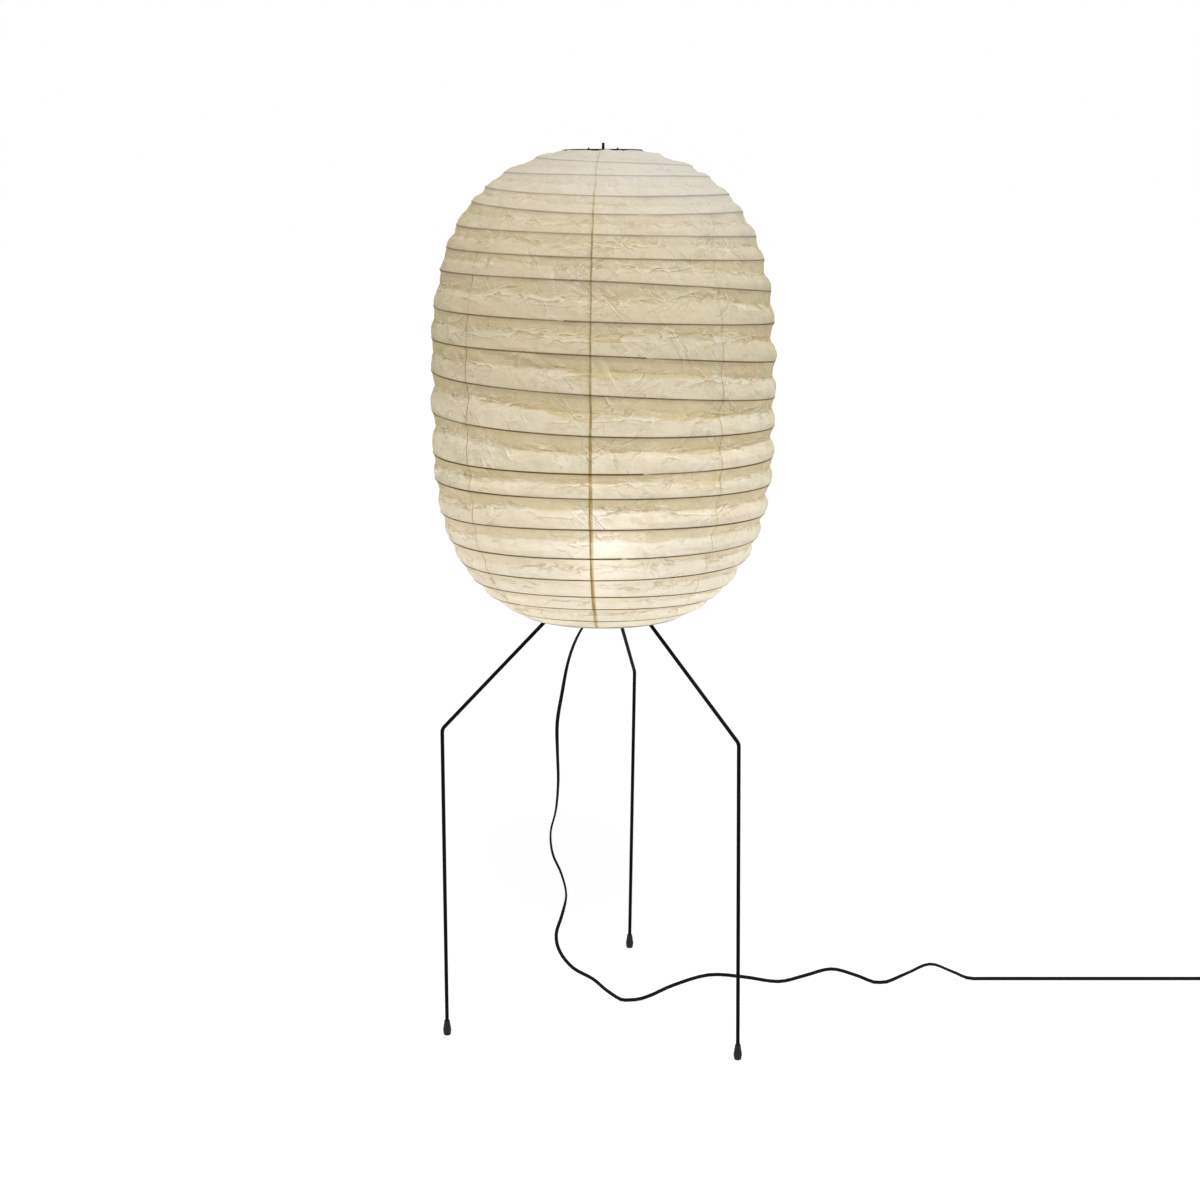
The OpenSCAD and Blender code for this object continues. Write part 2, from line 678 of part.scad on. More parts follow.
module cord_tail() {
    color(black) tube([
        for (i = [0:len(tail_path) - 1])
            ring(
                i == 0 ? [tail_path[0], tail_path[0] + [1, 0, 0]] : tail_path, i,
                tail_side(i), cord_w, cord_t, 6
            )
    ]);
}

module cord_tie() {
    band = 9;
    low_r = coil_radius(coil_turns / 2) - cord_t / 2 - 2 * clear;
    high_r = coil_radius(0.5) + cord_t / 2 + 2 * clear;
    top = coil_low + coil_rise + cord_w / 2 + clear;
    color([0.3, 0.3, 0.3]) translate([coil_x, coil_y + coil_r, 0]) difference() {
        translate([-band / 2, low_r - tie_t, 0]) cube([band, high_r - low_r + 2 * tie_t, top + tie_t]);
        translate([-band, low_r, tie_t]) cube([2 * band, high_r - low_r, top - tie_t]);
    }
}

module plug_body() {
    shoulder = 6;
    color(black) translate([plug_x, coil_y, plug_z]) {
        rotate([0, 90, 0]) cylinder(r1 = 4.5, r2 = 6, h = neck_l);
        intersection() {
            translate([neck_l, 0, -plug_h / 2]) linear_extrude(plug_h) polygon([
                [0, -plug_w / 2 + 5], [shoulder, -plug_w / 2], [plug_l, -plug_w / 2 + 1],
                [plug_l, plug_w / 2 - 1], [shoulder, plug_w / 2], [0, plug_w / 2 - 5]
            ]);
            rotate([90, 0, 0]) linear_extrude(plug_w + 2, center = true) polygon([
                [neck_l, -plug_h / 2 + 2.5], [neck_l + shoulder, -plug_h / 2],
                [neck_l + plug_l + 1, -plug_h / 2], [neck_l + plug_l + 1, plug_h / 2],
                [neck_l + shoulder, plug_h / 2], [neck_l, plug_h / 2 - 2.5]
            ]);
        }
    }
}

module plug_blades() {
    blade_l = 17;
    blade_w = 6.3;
    blade_t = 1.5;
    spacing = 12.7;
    color(brass) for (s = [-1, 1])
        translate([plug_x + neck_l + plug_l, coil_y + s * spacing / 2 - blade_t / 2, plug_z - blade_w / 2])
            cube([blade_l, blade_t, blade_w]);
}

leg_left();
leg_right();
leg_rear();
foot_left();
foot_right();
foot_rear();
leg_hub();
leg_grub_screws();
stretcher_left();
stretcher_right();
socket_cap();
socket_core();
socket_shell();
socket_skirt();
shade_ring();
switch_spindle();
switch_key();
bulb_base();
bulb_glass();
top_hoop();
bottom_hoop();
top_bar();
centre_pin();
bamboo_spiral();
gore(0);  // gore_1
gore(1);  // gore_2
gore(2);  // gore_3
gore(3);  // gore_4
gore(4);  // gore_5
gore(5);  // gore_6
gore(6);  // gore_7
gore(7);  // gore_8
cord_relief();
cord_run();
cord_coil();
cord_tail();
cord_tie();
plug_body();
plug_blades();
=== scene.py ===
import json
import math

import bpy
import numpy as np
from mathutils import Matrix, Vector

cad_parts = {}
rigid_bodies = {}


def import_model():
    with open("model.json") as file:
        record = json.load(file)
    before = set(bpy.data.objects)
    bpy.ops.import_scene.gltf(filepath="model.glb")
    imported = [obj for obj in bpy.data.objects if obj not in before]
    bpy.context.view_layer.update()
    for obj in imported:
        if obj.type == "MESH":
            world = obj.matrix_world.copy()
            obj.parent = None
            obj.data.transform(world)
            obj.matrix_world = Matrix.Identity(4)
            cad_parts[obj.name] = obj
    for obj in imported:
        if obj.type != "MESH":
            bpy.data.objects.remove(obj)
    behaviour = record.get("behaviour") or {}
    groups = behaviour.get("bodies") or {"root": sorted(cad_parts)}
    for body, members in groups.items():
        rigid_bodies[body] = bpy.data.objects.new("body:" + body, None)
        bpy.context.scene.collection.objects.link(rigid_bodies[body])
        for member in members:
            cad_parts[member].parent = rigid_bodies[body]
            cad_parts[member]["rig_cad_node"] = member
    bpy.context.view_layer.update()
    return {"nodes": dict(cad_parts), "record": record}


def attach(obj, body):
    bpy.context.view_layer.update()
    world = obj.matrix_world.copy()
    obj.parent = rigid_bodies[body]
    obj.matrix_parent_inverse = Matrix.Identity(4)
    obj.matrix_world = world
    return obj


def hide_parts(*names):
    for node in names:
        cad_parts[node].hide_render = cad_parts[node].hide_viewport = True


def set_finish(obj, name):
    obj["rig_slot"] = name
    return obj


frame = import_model()
nodes = frame["nodes"]
mm = 0.001


def added(name, data):
    # a new object with this data, in the scene
    made = bpy.data.objects.new(name, data)
    bpy.context.scene.collection.objects.link(made)
    return made


# the camera that took the photo: metres, degrees up from straight down, millimetres
camera = {"place": (-0.0048, -2.889, 1.345), "tilt": 77.5, "lens": 55.77, "film": 36.0}

eye = added("eye", bpy.data.cameras.new("eye"))
eye.location = camera["place"]
eye.rotation_euler = (math.radians(camera["tilt"]), 0, 0)
eye.data.lens = camera["lens"]
eye.data.sensor_width = camera["film"]
bpy.context.scene.camera = eye
print("camera placed")


def meshPiece(name, points, faces, body, slot, replaced=(), facts=None):
    # points (n, 3) in metres and arrays of faces of one size each become one piece on a body, with facts
    # (values by point) for its finish to read
    mesh = bpy.data.meshes.new(name)
    sizes = np.concatenate([np.full(len(f), f.shape[1]) for f in faces])
    corners = np.concatenate([f.ravel() for f in faces])
    mesh.vertices.add(len(points))
    mesh.vertices.foreach_set("co", np.float32(points).ravel())
    mesh.loops.add(len(corners))
    mesh.loops.foreach_set("vertex_index", np.int32(corners))
    mesh.polygons.add(len(sizes))
    mesh.polygons.foreach_set("loop_start", np.int32(np.cumsum(sizes) - sizes))
    mesh.polygons.foreach_set("use_smooth", np.ones(len(sizes), bool))
    mesh.update(calc_edges=True)
    mesh.validate()
    for key, values in (facts or {}).items():
        mesh.attributes.new(key, "FLOAT", "POINT").data.foreach_set("value", np.float32(values).ravel())
    piece = added(name, mesh)
    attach(piece, body)
    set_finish(piece, slot)
    if replaced:
        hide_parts(*replaced)
    return piece


def gridFaces(rows, columns, closed=False):
    # quads between neighbours of a rows x columns grid, wrapped round the columns where closed
    r, c = np.meshgrid(np.arange(rows - 1), np.arange(columns if closed else columns - 1), indexing="ij")
    r, c = r.ravel(), c.ravel()
    d = (c + 1) % columns
    return np.stack([r * columns + c, r * columns + d, (r + 1) * columns + d, (r + 1) * columns + c], 1)


def unit(v):
    return v / np.maximum(np.linalg.norm(v, axis=-1, keepdims=True), 1e-12)


def loft(sections):
    # sections (n, m, 3): rings joined in order, with a flat fan over each end
    n, m = sections.shape[:2]
    points = np.concatenate([sections.reshape(-1, 3), sections[[0, -1]].mean(1)])
    k = np.arange(m)
    start = np.stack([k * 0 + n * m, (k + 1) % m, k], 1)
    end = np.stack([k * 0 + n * m + 1, (n - 1) * m + k, (n - 1) * m + (k + 1) % m], 1)
    return points, [gridFaces(n, m, True), start, end]


def alongPath(path, side, across, up):
    # profile points across * side + up * (side x direction), carried along the path square to it
    direction = unit(np.gradient(path, axis=0))
    side = unit(side - (side * direction).sum(1, keepdims=True) * direction)
    rise = np.cross(side, direction)
    return path[:, None] + across[..., None] * side[:, None] + up[..., None] * rise[:, None]


def smoothBetween(a, b, c, d, f):
    # a smooth curve through b and c, with slopes (c - a) / 2 and (d - b) / 2
    return b + 0.5 * f * (c - a + f * (2 * a - 5 * b + 4 * c - d + f * (3 * (b - c) + d - a)))


def smoothPath(knots, steps):
    # points at even shares of every span between the knots
    last = len(knots) - 1
    p = np.linspace(0, last, last * steps + 1)
    i = np.minimum(p.astype(int), last - 1)
    f = (p - i)[:, None]
    before, after = knots[np.maximum(i - 1, 0)], knots[np.minimum(i + 2, last)]
    return smoothBetween(before, knots[i], knots[i + 1], after, f)


def around(count):
    # angles evenly round a circle
    return np.linspace(0, 2 * np.pi, count, endpoint=False)


def ease(x):
    # 0 below 0, 1 above 1, smooth between
    x = np.clip(x, 0, 1)
    return x * x * (3 - 2 * x)


# the lead, in millimetres
lead = {
    "width": 6.0, "thickness": 3.4, "start": (-11.7, 0, 682.03), "clear": 0.1,
    "coilX": 1110.0, "coilY": 124.0, "coilRadius": 37.0, "pitch": 5.4, "turns": 3, "coilSteps": 72,
    "low": 4.1, "layer": 6.8, "leadIn": 6.0, "plugX": 1174.0, "plugZ": 8.0,
    # place of each knot and how far the flat lead is rolled there, 0 with its flat side square to Y
    "route": [
        (-31, 0, 662, 0.2), (-46, 1, 633, 0.6), (-57, 3, 598, 0.7), (-66, 4, 550, 1.25),
        (-74, 6, 500, 1.4), (-74, 8, 450, 0.75), (-73, 10, 400, 0.5), (-77, 12, 350, 0.15),
        (-86, 15, 310, 0.0), (-83, 17, 272, 0.15), (-69, 20, 236, 0.1), (-61, 22, 198, 0.1),
        (-68, 24, 162, 1.0), (-78, 26, 126, 1.25), (-72, 28, 94, 1.0), (-50, 30, 64, 0.9),
        (-17, 33, 43, 0.8), (8, 35, 20, 0.8), (38, 36, 2, 1.15), (75, 41, 7, 1.15),
        (120, 48, 25, 1.15), (180, 58, 39, 1.15), (240, 68, 31, 1.15), (300, 78, 18, 1.15),
        (345, 86, 25, 1.1), (392, 94, 34, 0.9), (435, 101, 20, 1.0), (480, 108, 2, 1.15),
        (525, 113, 17, 0.35), (566, 117, 33, 0.3), (605, 121, 18, 0.3), (645, 124, 2, 0.9),
        (720, 124, 2, 1.15), (880, 124, 2, 1.15), (1040, 124, 2, 1.2),
    ],
}


def leadRun():
    # the free stretch, with the side of its profile: cos(roll) Y + sin(roll) (direction x Y)
    coilIn = (lead["coilX"] - lead["leadIn"], lead["coilY"], lead["low"], np.pi / 2)
    knots = np.array([(*lead["start"], 0), *lead["route"], coilIn], float)
    run, roll = np.split(smoothPath(knots, 4), [3], 1)
    # the lowest place of the middle is the rolled lead's own half height above the floor
    reach = (lead["width"] - lead["thickness"]) / 2
    lowest = lead["thickness"] / 2 + lead["clear"] + reach * np.abs(np.sin(roll[:, 0]))
    run[:, 2] = np.maximum(run[:, 2], lowest)
    aside = unit(np.cross(np.gradient(run, axis=0), [0, 1, 0]))
    return run, np.cos(roll) * [0, 1, 0] + np.sin(roll) * aside


def leadCoil():
    # a spiral in and out again: radius = coil radius - pitch * (half the turns - |turn - half the turns|)
    half = lead["turns"] / 2
    t = np.arange(1, lead["turns"] * lead["coilSteps"]) / lead["coilSteps"]
    r = lead["coilRadius"] - lead["pitch"] * (half - np.abs(t - half))
    lift = lead["low"] + lead["layer"] * ease((t - half + 0.27) / 0.5)
    x = lead["coilX"] + r * np.sin(2 * np.pi * t)
    y = lead["coilY"] + lead["coilRadius"] - r * np.cos(2 * np.pi * t)
    return np.stack([x, y, lift], 1), np.tile([0.0, 0, 1], (len(t), 1))


def leadTail():
    # from the coil's upper layer down to the plug, turning from upright to flat
    y, high, end, low = lead["coilY"], lead["low"] + lead["layer"], lead["plugX"], lead["plugZ"]
    tail = smoothPath(np.array([
        (lead["coilX"] + lead["leadIn"], y, high), (lead["coilX"] + 20, y, high),
        (end - 24, y, low + 1), (end - 12, y, low), (end + 3, y, low),
    ], float), 6)
    turn = np.pi / 2 * (1 - ease((tail[:, 0] - tail[0, 0]) / (end - tail[0, 0])))
    return tail, np.stack([0 * turn, np.cos(turn), np.sin(turn)], 1)


def leadPiece():
    # two round wires side by side with a web between them
    path, side = (np.concatenate(parts) for parts in zip(leadRun(), leadCoil(), leadTail()))
    path = path * mm
    r, offset = lead["thickness"] / 2, lead["width"] / 2 - lead["thickness"] / 2
    a = np.linspace(-2.2, 2.2, 11)
    across = np.concatenate([offset + r * np.cos(a), -offset - r * np.cos(a)]) * mm
    up = np.concatenate([r * np.sin(a), -r * np.sin(a)]) * mm
    points, faces = loft(alongPath(path, side, across, up))
    piece = meshPiece("lead", points, faces, "stand", "cord_vinyl", ("cord_run", "cord_coil", "cord_tail"))
    return piece, path, np.linalg.norm(np.diff(path, axis=0), axis=1).sum()


def squared(c, power):
    # a cosine or sine pushed out towards a rounded square
    return np.sign(c) * np.abs(c) ** power


def superSection(x, halfWidth, halfHeight, fullness):
    # ring of a superellipse |y/w|^n + |z/h|^n = 1 in the plane at x
    a = around(48)
    y, z = squared(np.cos(a), 2 / fullness) * halfWidth, squared(np.sin(a), 2 / fullness) * halfHeight
    return np.stack([np.full(len(a), x), y, z], 1)


plug = {
    "neck": 12.0, "neckWide": 5.3, "neckHigh": 4.6, "neckRings": 4, "ringDepth": 0.25,
    "body": 30.0, "width": 24.0, "height": 15.8, "taper": 0.9, "grooves": 9.6, "grooveDepth": 0.55,
    "edge": 0.8, "firstEdge": 0.6,
}


def plugPiece():
    # moulded plug: a ringed neck that swells into a flat-sided grip with finger grooves
    neck, body, end = plug["neck"], plug["body"], plug["neck"] + plug["body"]
    x = np.concatenate([
        [0, 0.3], np.linspace(0.8, neck, 26)[:-1], np.linspace(neck, end - 1, 70), [end - 0.3, end]
    ])
    t = np.clip((x - neck) / body, 0, 1)
    swell = ease(t / 0.3)
    wave = np.cos(x / neck * 2 * np.pi * plug["neckRings"])
    rings = plug["ringDepth"] * (wave > 0.2) * (x > 1) * (x < neck - 1)
    edge = plug["edge"] * (1 - np.sqrt(np.clip(1 - np.maximum(0, x - end + 1) ** 2, 0, 1)))
    grooves = plug["grooveDepth"] * (np.cos(t * 2 * np.pi * plug["grooves"]) > 0.35) * (t > 0.28) * (t < 0.86)
    w = plug["neckWide"] + (plug["width"] / 2 - plug["neckWide"]) * swell
    w = w - plug["taper"] * ease((t - 0.5) / 0.5) - rings - grooves - edge
    h = plug["neckHigh"] + (plug["height"] / 2 - plug["neckHigh"]) * ease(t / 0.25) - rings - edge
    w[0] -= plug["firstEdge"]
    h[0] -= plug["firstEdge"]
    sections = np.stack([superSection(*section) for section in zip(x, w, h, 2 + 2.2 * swell)])
    sections += [lead["plugX"], lead["coilY"], lead["plugZ"]]
    points, faces = loft(sections * mm)
    return meshPiece("plug_grip", points, faces, "stand", "cord_vinyl", ("plug_body",))


tie = {"band": 9.0, "wall": 0.8, "slack": 0.6, "squareness": 0.45}


def tiePiece():
    # a strap round the coil's far side: a rounded rectangle carried along X, its end lapped over
    t = lead["turns"] / 2
    low = lead["coilRadius"] - lead["pitch"] * t - lead["thickness"] / 2 - tie["slack"]
    high = lead["coilRadius"] - lead["pitch"] * (t - abs(0.5 - t)) + lead["thickness"] / 2 + tie["slack"]
    top = lead["low"] + lead["layer"] + lead["width"] / 2 + 0.3
    halfY, halfZ = (high - low) / 2 + tie["wall"] / 2, top / 2 - tie["wall"] / 2 + 0.2
    a = np.linspace(-0.62 * np.pi, 1.62 * np.pi, 120)
    lapped = ease((a - 1.25 * np.pi) / 0.3)
    y = squared(np.cos(a), tie["squareness"]) * halfY * (1 + 0.09 * lapped)
    z = squared(np.sin(a), tie["squareness"]) * halfZ * (1 + 0.05 * lapped)
    middle = lead["coilY"] + lead["coilRadius"] + (low + high) / 2
    line = np.stack([0 * a, middle + y, top / 2 + 0.6 + z], 1)
    outward = np.cross(unit(np.gradient(line, axis=0)), [1, 0, 0])
    u = np.array([-1, -0.92, 0.92, 1, 1, 0.92, -0.92, -1]) * tie["band"] / 2
    v = np.array([-0.6, -1, -1, -0.6, 0.6, 1, 1, 0.6]) * tie["wall"] / 2
    band = np.stack([u + lead["coilX"], 0 * u, 0 * u], 1)
    points, faces = loft((line[:, None] + band + v[:, None] * outward[:, None]) * mm)
    return meshPiece("tie_strap", points, faces, "stand", "tie", ("cord_tie",))


relief = {
    "lean": 38.0, "inside": 703.0, "cap": 700.0, "top": 697.0, "bore": 4.42, "endWide": 3.5, "endHigh": 2.4,
    "flange": 2.1, "flangeRun": (3.05, 5.9), "grooves": 8, "grooveDepth": 0.35,
}


def reliefPiece():
    # flange under the cap, then a ringed sleeve that narrows and flattens towards the lead
    lean = math.radians(relief["lean"])
    x, _, z = lead["start"]
    top, bore = relief["top"], relief["bore"]
    knots = np.array([
        (0, 0, relief["inside"]), (0, 0, relief["cap"]), (0, 0, top), (-2.2, 0, top - 3.4),
        (x / 2 - 1, 0, (z + top - 1.4) / 2), (x, 0, z),
        (x - 1.5 * math.sin(lean), 0, z - 1.5 * math.cos(lean)),
    ])
    path = smoothPath(knots, 12)
    run = np.concatenate([[0], np.cumsum(np.linalg.norm(np.diff(path, axis=0), axis=1))])
    t = run / run[-1]
    flange = relief["flange"] * ((run > relief["flangeRun"][0]) & (run < relief["flangeRun"][1]))
    sleeve = ease((t - 0.25) / 0.7)
    wave = np.cos((t - 0.28) * 2 * np.pi * relief["grooves"] / 0.68)
    groove = relief["grooveDepth"] * (wave < -0.1) * (t > 0.3) * (t < 0.95)
    w, h = (bore + flange - (bore - relief[end]) * sleeve - groove for end in ("endWide", "endHigh"))
    a = around(40)
    points, faces = loft(alongPath(path, [0, 1, 0], w[:, None] * np.cos(a), h[:, None] * np.sin(a)) * mm)
    return meshPiece("relief_sleeve", points, faces, "stand", "relief_rubber", ("cord_relief",))


leadTube, leadPath, leadLength = leadPiece()
plugGrip, tieStrap = plugPiece(), tiePiece()
reliefPiece()
print("lead laid,", round(float(leadLength), 3), "m")

# the shade's outline and its turns of bamboo, in millimetres
shade = {
    "top": 1400.0, "bottom": 691.0, "wide": 1010.0, "radius": 266.0,
    "topEdge": 60.31, "bottomEdge": 134.45, "crown": 3.3, "base": 3.0, "sides": 2.3,
    "gores": 8, "firstSeam": 176.0,
    # quarter turns from the left side at which the spiral starts and ends
    "spiralFrom": 0.1222, "spiralTo": 76.0,
    # how far each turn of bamboo hangs below the top hoop at the left, the front and the right
    "drops": [
        (9, 18, 23), (31, 37, 39), (52, 66, 64), (73, 91, 90), (108, 119, 127), (141, 151, 162),
        (175, 183, 210), (230, 239, 257), (278, 286, 315), (327, 342, 371), (388, 400, 415),
        (453, 454, 461), (494, 490, 503), (546, 536, 550), (588, 581, 587), (624, 616, 621),
        (653, 645, 659), (678, 668, 680), (698, 693, 699),
    ],
    # the same at each quarter before the first turn and after the last, and the bottom hoop's own
    "above": [2, 3, 5, 7], "below": [703, 704, 705, 706, 707], "hoopDrop": 709.0,
}
goreAngle = 360 / shade["gores"]
turns = np.array(shade["drops"], float)
nextLeft = np.append(turns[1:, 0], shade["below"][0])
# the back of each turn lies halfway between its right side and the next turn's left
quarterDrops = np.concatenate([
    shade["above"], np.column_stack([turns, (turns[:, 2] + nextLeft) / 2]).ravel(), shade["below"]
])
lastQuarter = len(quarterDrops) - 1


def halfHeight(end, edge, fullness):
    # how far from the widest height the outline would close, so that it has the edge's radius at that end
    closing = 1 - (shade[edge] / shade["radius"]) ** shade["sides"]
    return abs(shade[end] - shade["wide"]) / closing ** (1 / shade[fullness])


crownHeight = halfHeight("top", "topEdge", "crown")
baseHeight = halfHeight("bottom", "bottomEdge", "base")


def turnHeight(q):
    # height of the bamboo after q quarter turns from the left side
    p = np.clip(np.asarray(q, float) + len(shade["above"]), 0, lastQuarter)
    i = np.floor(p).astype(int)
    a, b, c, d = (quarterDrops[np.clip(i + k, 0, lastQuarter)] for k in (-1, 0, 1, 2))
    drop = (shade["top"] - shade["bottom"]) / shade["hoopDrop"] * smoothBetween(a, b, c, d, p - i)
    return shade["top"] - drop


def outlineRadius(z):
    # radius = widest * (1 - (|z - widest z| / half height) ^ fullness) ^ (1 / sides)
    up = z > shade["wide"]
    u = np.abs(z - shade["wide"]) / np.where(up, crownHeight, baseHeight)
    left = np.maximum(1 - u ** np.where(up, shade["crown"], shade["base"]), 1e-6)
    return shade["radius"] * left ** (1 / shade["sides"])


def outlinePoint(z, depth):
    # radius and height of the outline, moved inward by depth along its normal
    slope = outlineRadius(z + 0.5) - outlineRadius(z - 0.5)
    s = np.sqrt(1 + slope * slope)
    return outlineRadius(z) - depth / s, z + depth * slope / s


def wander(q, seed, pitches):
    # smooth noise from -1 to 1 along the spiral: sines of the given wavelengths in quarter turns
    rng = np.random.default_rng(seed)
    total = 0
    for pitch in pitches:
        total = total + np.sin(2 * np.pi * q / (pitch * rng.uniform(0.8, 1.25)) + rng.uniform(0, 2 * np.pi))
    return total / math.sqrt(2 * len(pitches)) / 1.2


# the paper gores, in millimetres
paper = {
    # width, length and area of a gore's flat sheet, its glued lap, and how far under the outline it lies
    "cut": (213.0, 870.0), "cutArea": 154000.0, "lap": 3.6, "lapLift": 0.35, "clear": 0.3,
    # columns in a gore, rows in a band, and rows in one that is lower than narrow
    "columns": 136, "rows": 30, "narrow": 14.0, "narrowRows": 8,
    # fold and elbow of a band as shares of its height, and how far the seams jog aside at a fold
    "foldAt": 0.41, "elbowAt": 0.75, "jog": 3.2,
    # pressed creases: how many lie loose, how many fan out from each crossing of rib and seam, how deep
    "creases": 1000, "fans": 4, "creaseDepth": 1.1, "seed": 11,
    # azimuth of the seam at the front
    "front": 266,
    # crumple: size along and up in millimetres, height, and how much of it gathers at the folds
    "crumple": [
        (46, 34, 2.4, 0.0), (21, 15, 1.2, 0.0), (10, 8, 0.35, 0.1), (26, 8, 1.1, 1.0), (12, 5, 0.45, 1.0),
    ],
}
# quarter turns at which one strip of bamboo ends and the next begins
splices = [2.3, 7.6, 10.4, 13.15, 19.4, 23.7, 28.86, 33.15, 38.9, 45.14, 50.2, 57.07, 62.6, 68.54, 74.8]


def ribTone(q):
    # 1 is a thick dark rib: strongest up to a splice, broken there, then thin until the next strip fills out
    tone = 0.62 + 0.22 * wander(q, 8, (3.1, 1.3, 0.6))
    for k, at in enumerate(splices):
        # millimetres past the splice; every sixth strip is laid the other way round
        d = (q - at) * 400 * (1 if k % 6 else -1)
        tone = tone + 0.26 * np.exp(np.minimum(d, 0) / 26) * (d <= 0)
        tone = tone - 0.28 * np.exp(-np.maximum(d, 0) / 45) * (d > 0)
        tone = tone - 0.9 * np.exp(-((d - 3) / 3.5) ** 2)
    return np.clip(tone, 0.02, 1.15)


def looseCreases(rng):
    # azimuth, height, direction, half length, depth and width of each
    n = paper["creases"]
    return np.stack([
        rng.uniform(0, 360, n), rng.uniform(shade["bottom"] + 20, shade["top"] - 25, n),
        rng.normal(0, 0.75, n) - 0.25, 4 + rng.exponential(9, n),
        rng.choice([-1, 1], n) * rng.uniform(0.25, 1, n), rng.uniform(3, 8.5, n),
    ], 1)


def fanCrease(rng, azimuth, z):
    # one of those that fan out downwards from the crossing of a rib and a seam
    way = rng.choice([-1, 1], p=[0.65, 0.35]) * rng.uniform(0.4, 1.15)
    half = rng.uniform(7, 30)
    away = rng.uniform(0, 26) * -np.sign(way)
    shift = math.degrees((math.cos(way) * half * -np.sign(way) + away) / max(60, outlineRadius(z)))
    depth = rng.choice([-1, 1]) * rng.uniform(0.5, 1.3)
    return azimuth + shift, z - abs(math.sin(way)) * half, way, half, depth, rng.uniform(3, 7.5)


def creaseLines():
    # straight folds pressed into the paper
    rng = np.random.default_rng(paper["seed"])
    loose = looseCreases(rng)
    fans = []
    for k in range(shade["gores"]):
        azimuth = shade["firstSeam"] + goreAngle * k
        for z in turnHeight((azimuth - 180) / 90 + 4 * np.arange(1, 19)):
            fans += [fanCrease(rng, azimuth, z) for _ in range(paper["fans"])]
    return np.concatenate([loose, fans])


allCreases = creaseLines()


def pressCreases(azimuth, z):
    # each crease: a tent 1 - |across| / width, faded at its ends, with a mark for a painted highlight on one
    # flank and painted shade on the other
    total, mark = np.zeros_like(z), np.zeros_like(z)
    near = np.abs((allCreases[:, 0] - azimuth.mean() + 180) % 360 - 180) < 38
    level = -z.mean(1)
    for a, height, way, half, depth, width in allCreases[near]:
        rows = slice(*np.searchsorted(level, [-height - half - 22, -height + half + 22]))
        du = np.radians((azimuth[rows] - a + 180) % 360 - 180) * outlineRadius(np.array(height))
        dz = (z[rows] - height) * (1 + 0.4 * (abs(height - shade["wide"]) > 220))
        along, across = du * math.cos(way) + dz * math.sin(way), dz * math.cos(way) - du * math.sin(way)
        across = across + 0.09 * along * np.sin(along / 11 + height) + 0.7 * np.sin(along / 3.1 + a)
        fade = ease(1.15 - np.abs(along) / half)
        side = np.where(across > 0, across / width, -across / (2.2 * width))
        total[rows] += depth * fade * np.maximum(0, 1 - side)
        flank = np.where(across > 0, 1 - np.abs(across - 1.8) / 2.4, -0.6 + 0.6 * np.abs(across + 1.4) / 2.4)
        own = np.where(np.sign(flank) == np.sign(across), np.abs(flank), 0)
        mark[rows] += np.abs(depth) * np.sign(flank) * fade * own
    # the glowing foot of the shade is pressed least
    calm = ease((z - 850) / 190)
    return total * paper["creaseDepth"] * calm, mark * calm


def facets(u, v, seed):
    # random heights on a bent lattice of triangles, joined by flat facets
    heights = np.random.default_rng(seed).normal(0, 0.5, (512, 512))
    x = u + 0.33 * np.sin(2.3 * v + seed) + 0.2 * np.sin(1.1 * u + 2.9 * v) + 0.5 * v
    y = v + 0.33 * np.sin(2.7 * u + 2 * seed) + 0.2 * np.sin(3.1 * u - 1.3 * v)
    i, j = np.floor(x).astype(int), np.floor(y).astype(int)
    fx, fy = x - i, y - j
    a, b, c, d = (heights[(i + p) % 512, (j + q) % 512] for p, q in ((0, 0), (1, 0), (0, 1), (1, 1)))
    lower, upper = a + (b - a) * fx + (c - a) * fy, d + (c - d) * (1 - fx) + (b - d) * (1 - fy)
    return np.where(fx + fy < 1, lower, upper)


def crumpleDepth(azimuth, z, share):
    # facets of several sizes, some of them only near the folds, and calmer in places
    u = np.radians(azimuth) * 250
    atFold = np.exp(-((share - 0.42) / 0.17) ** 2)
    total = np.zeros_like(z)
    for k, (along, up, depth, gathered) in enumerate(paper["crumple"]):
        calm = np.clip(0.65 + 0.6 * facets(u / 120, z / 90, 40 + k), 0.15, 1.3)
        total += depth * calm * facets(u / along, z / up, 20 + k) * (1 - gathered + gathered * atFold)
    return total


def bentLine(s, knots):
    # straight pieces through knots (place, value), both free to change from column to column
    total = 0 * s
    for (x0, y0), (x1, y1) in zip(knots, knots[1:]):
        total = np.where(s >= x0, y0 + (y1 - y0) * (s - x0) / (x1 - x0), total)
    return total


def seamJogs():
    # how far each seam is pulled aside at the fold of each band, in millimetres
    rng = np.random.default_rng(5)
    jogs = rng.normal(0, 1, (shade["gores"] + 1, 26)) * paper["jog"]
    jogs[0] = jogs[-1]
    jogs[2] *= 0.15
    jogs[3, [12, 13]] = -7.5, -3
    return jogs


allJogs = seamJogs()


def seamShift(k, azimuth, q, gap, share):
    # both seams of a gore jog aside at the fold, most on the seam itself
    shift = np.zeros_like(share)
    for seam in (k, k + 1):
        seamAt = shade["firstSeam"] + goreAngle * seam
        number = np.rint((q - (seamAt - 180) / 90 - (4 if seam == 0 else 0)) / 4).astype(int) + 3
        pull = allJogs[seam, np.clip(number, 0, 25)] * np.clip(gap / 35, 0, 1)
        shift = shift + pull * (1 - np.abs(2 * share - 1)) * np.exp(-np.abs(azimuth - seamAt) / 5)
    return shift


def sharpness(azimuth, q, middle):
    # 0 for a soft band, 1 for a sharp one: sharper low down and on the right
    lowness = ease((1180 - middle) / 330)
    side = np.cos(np.radians(azimuth))
    sided = np.where(side > 0, 0.5, -0.2) * side
    return np.clip(0.28 * lowness + sided + 0.25 * wander(q, 4, (2.3, 0.8)), 0, 1)


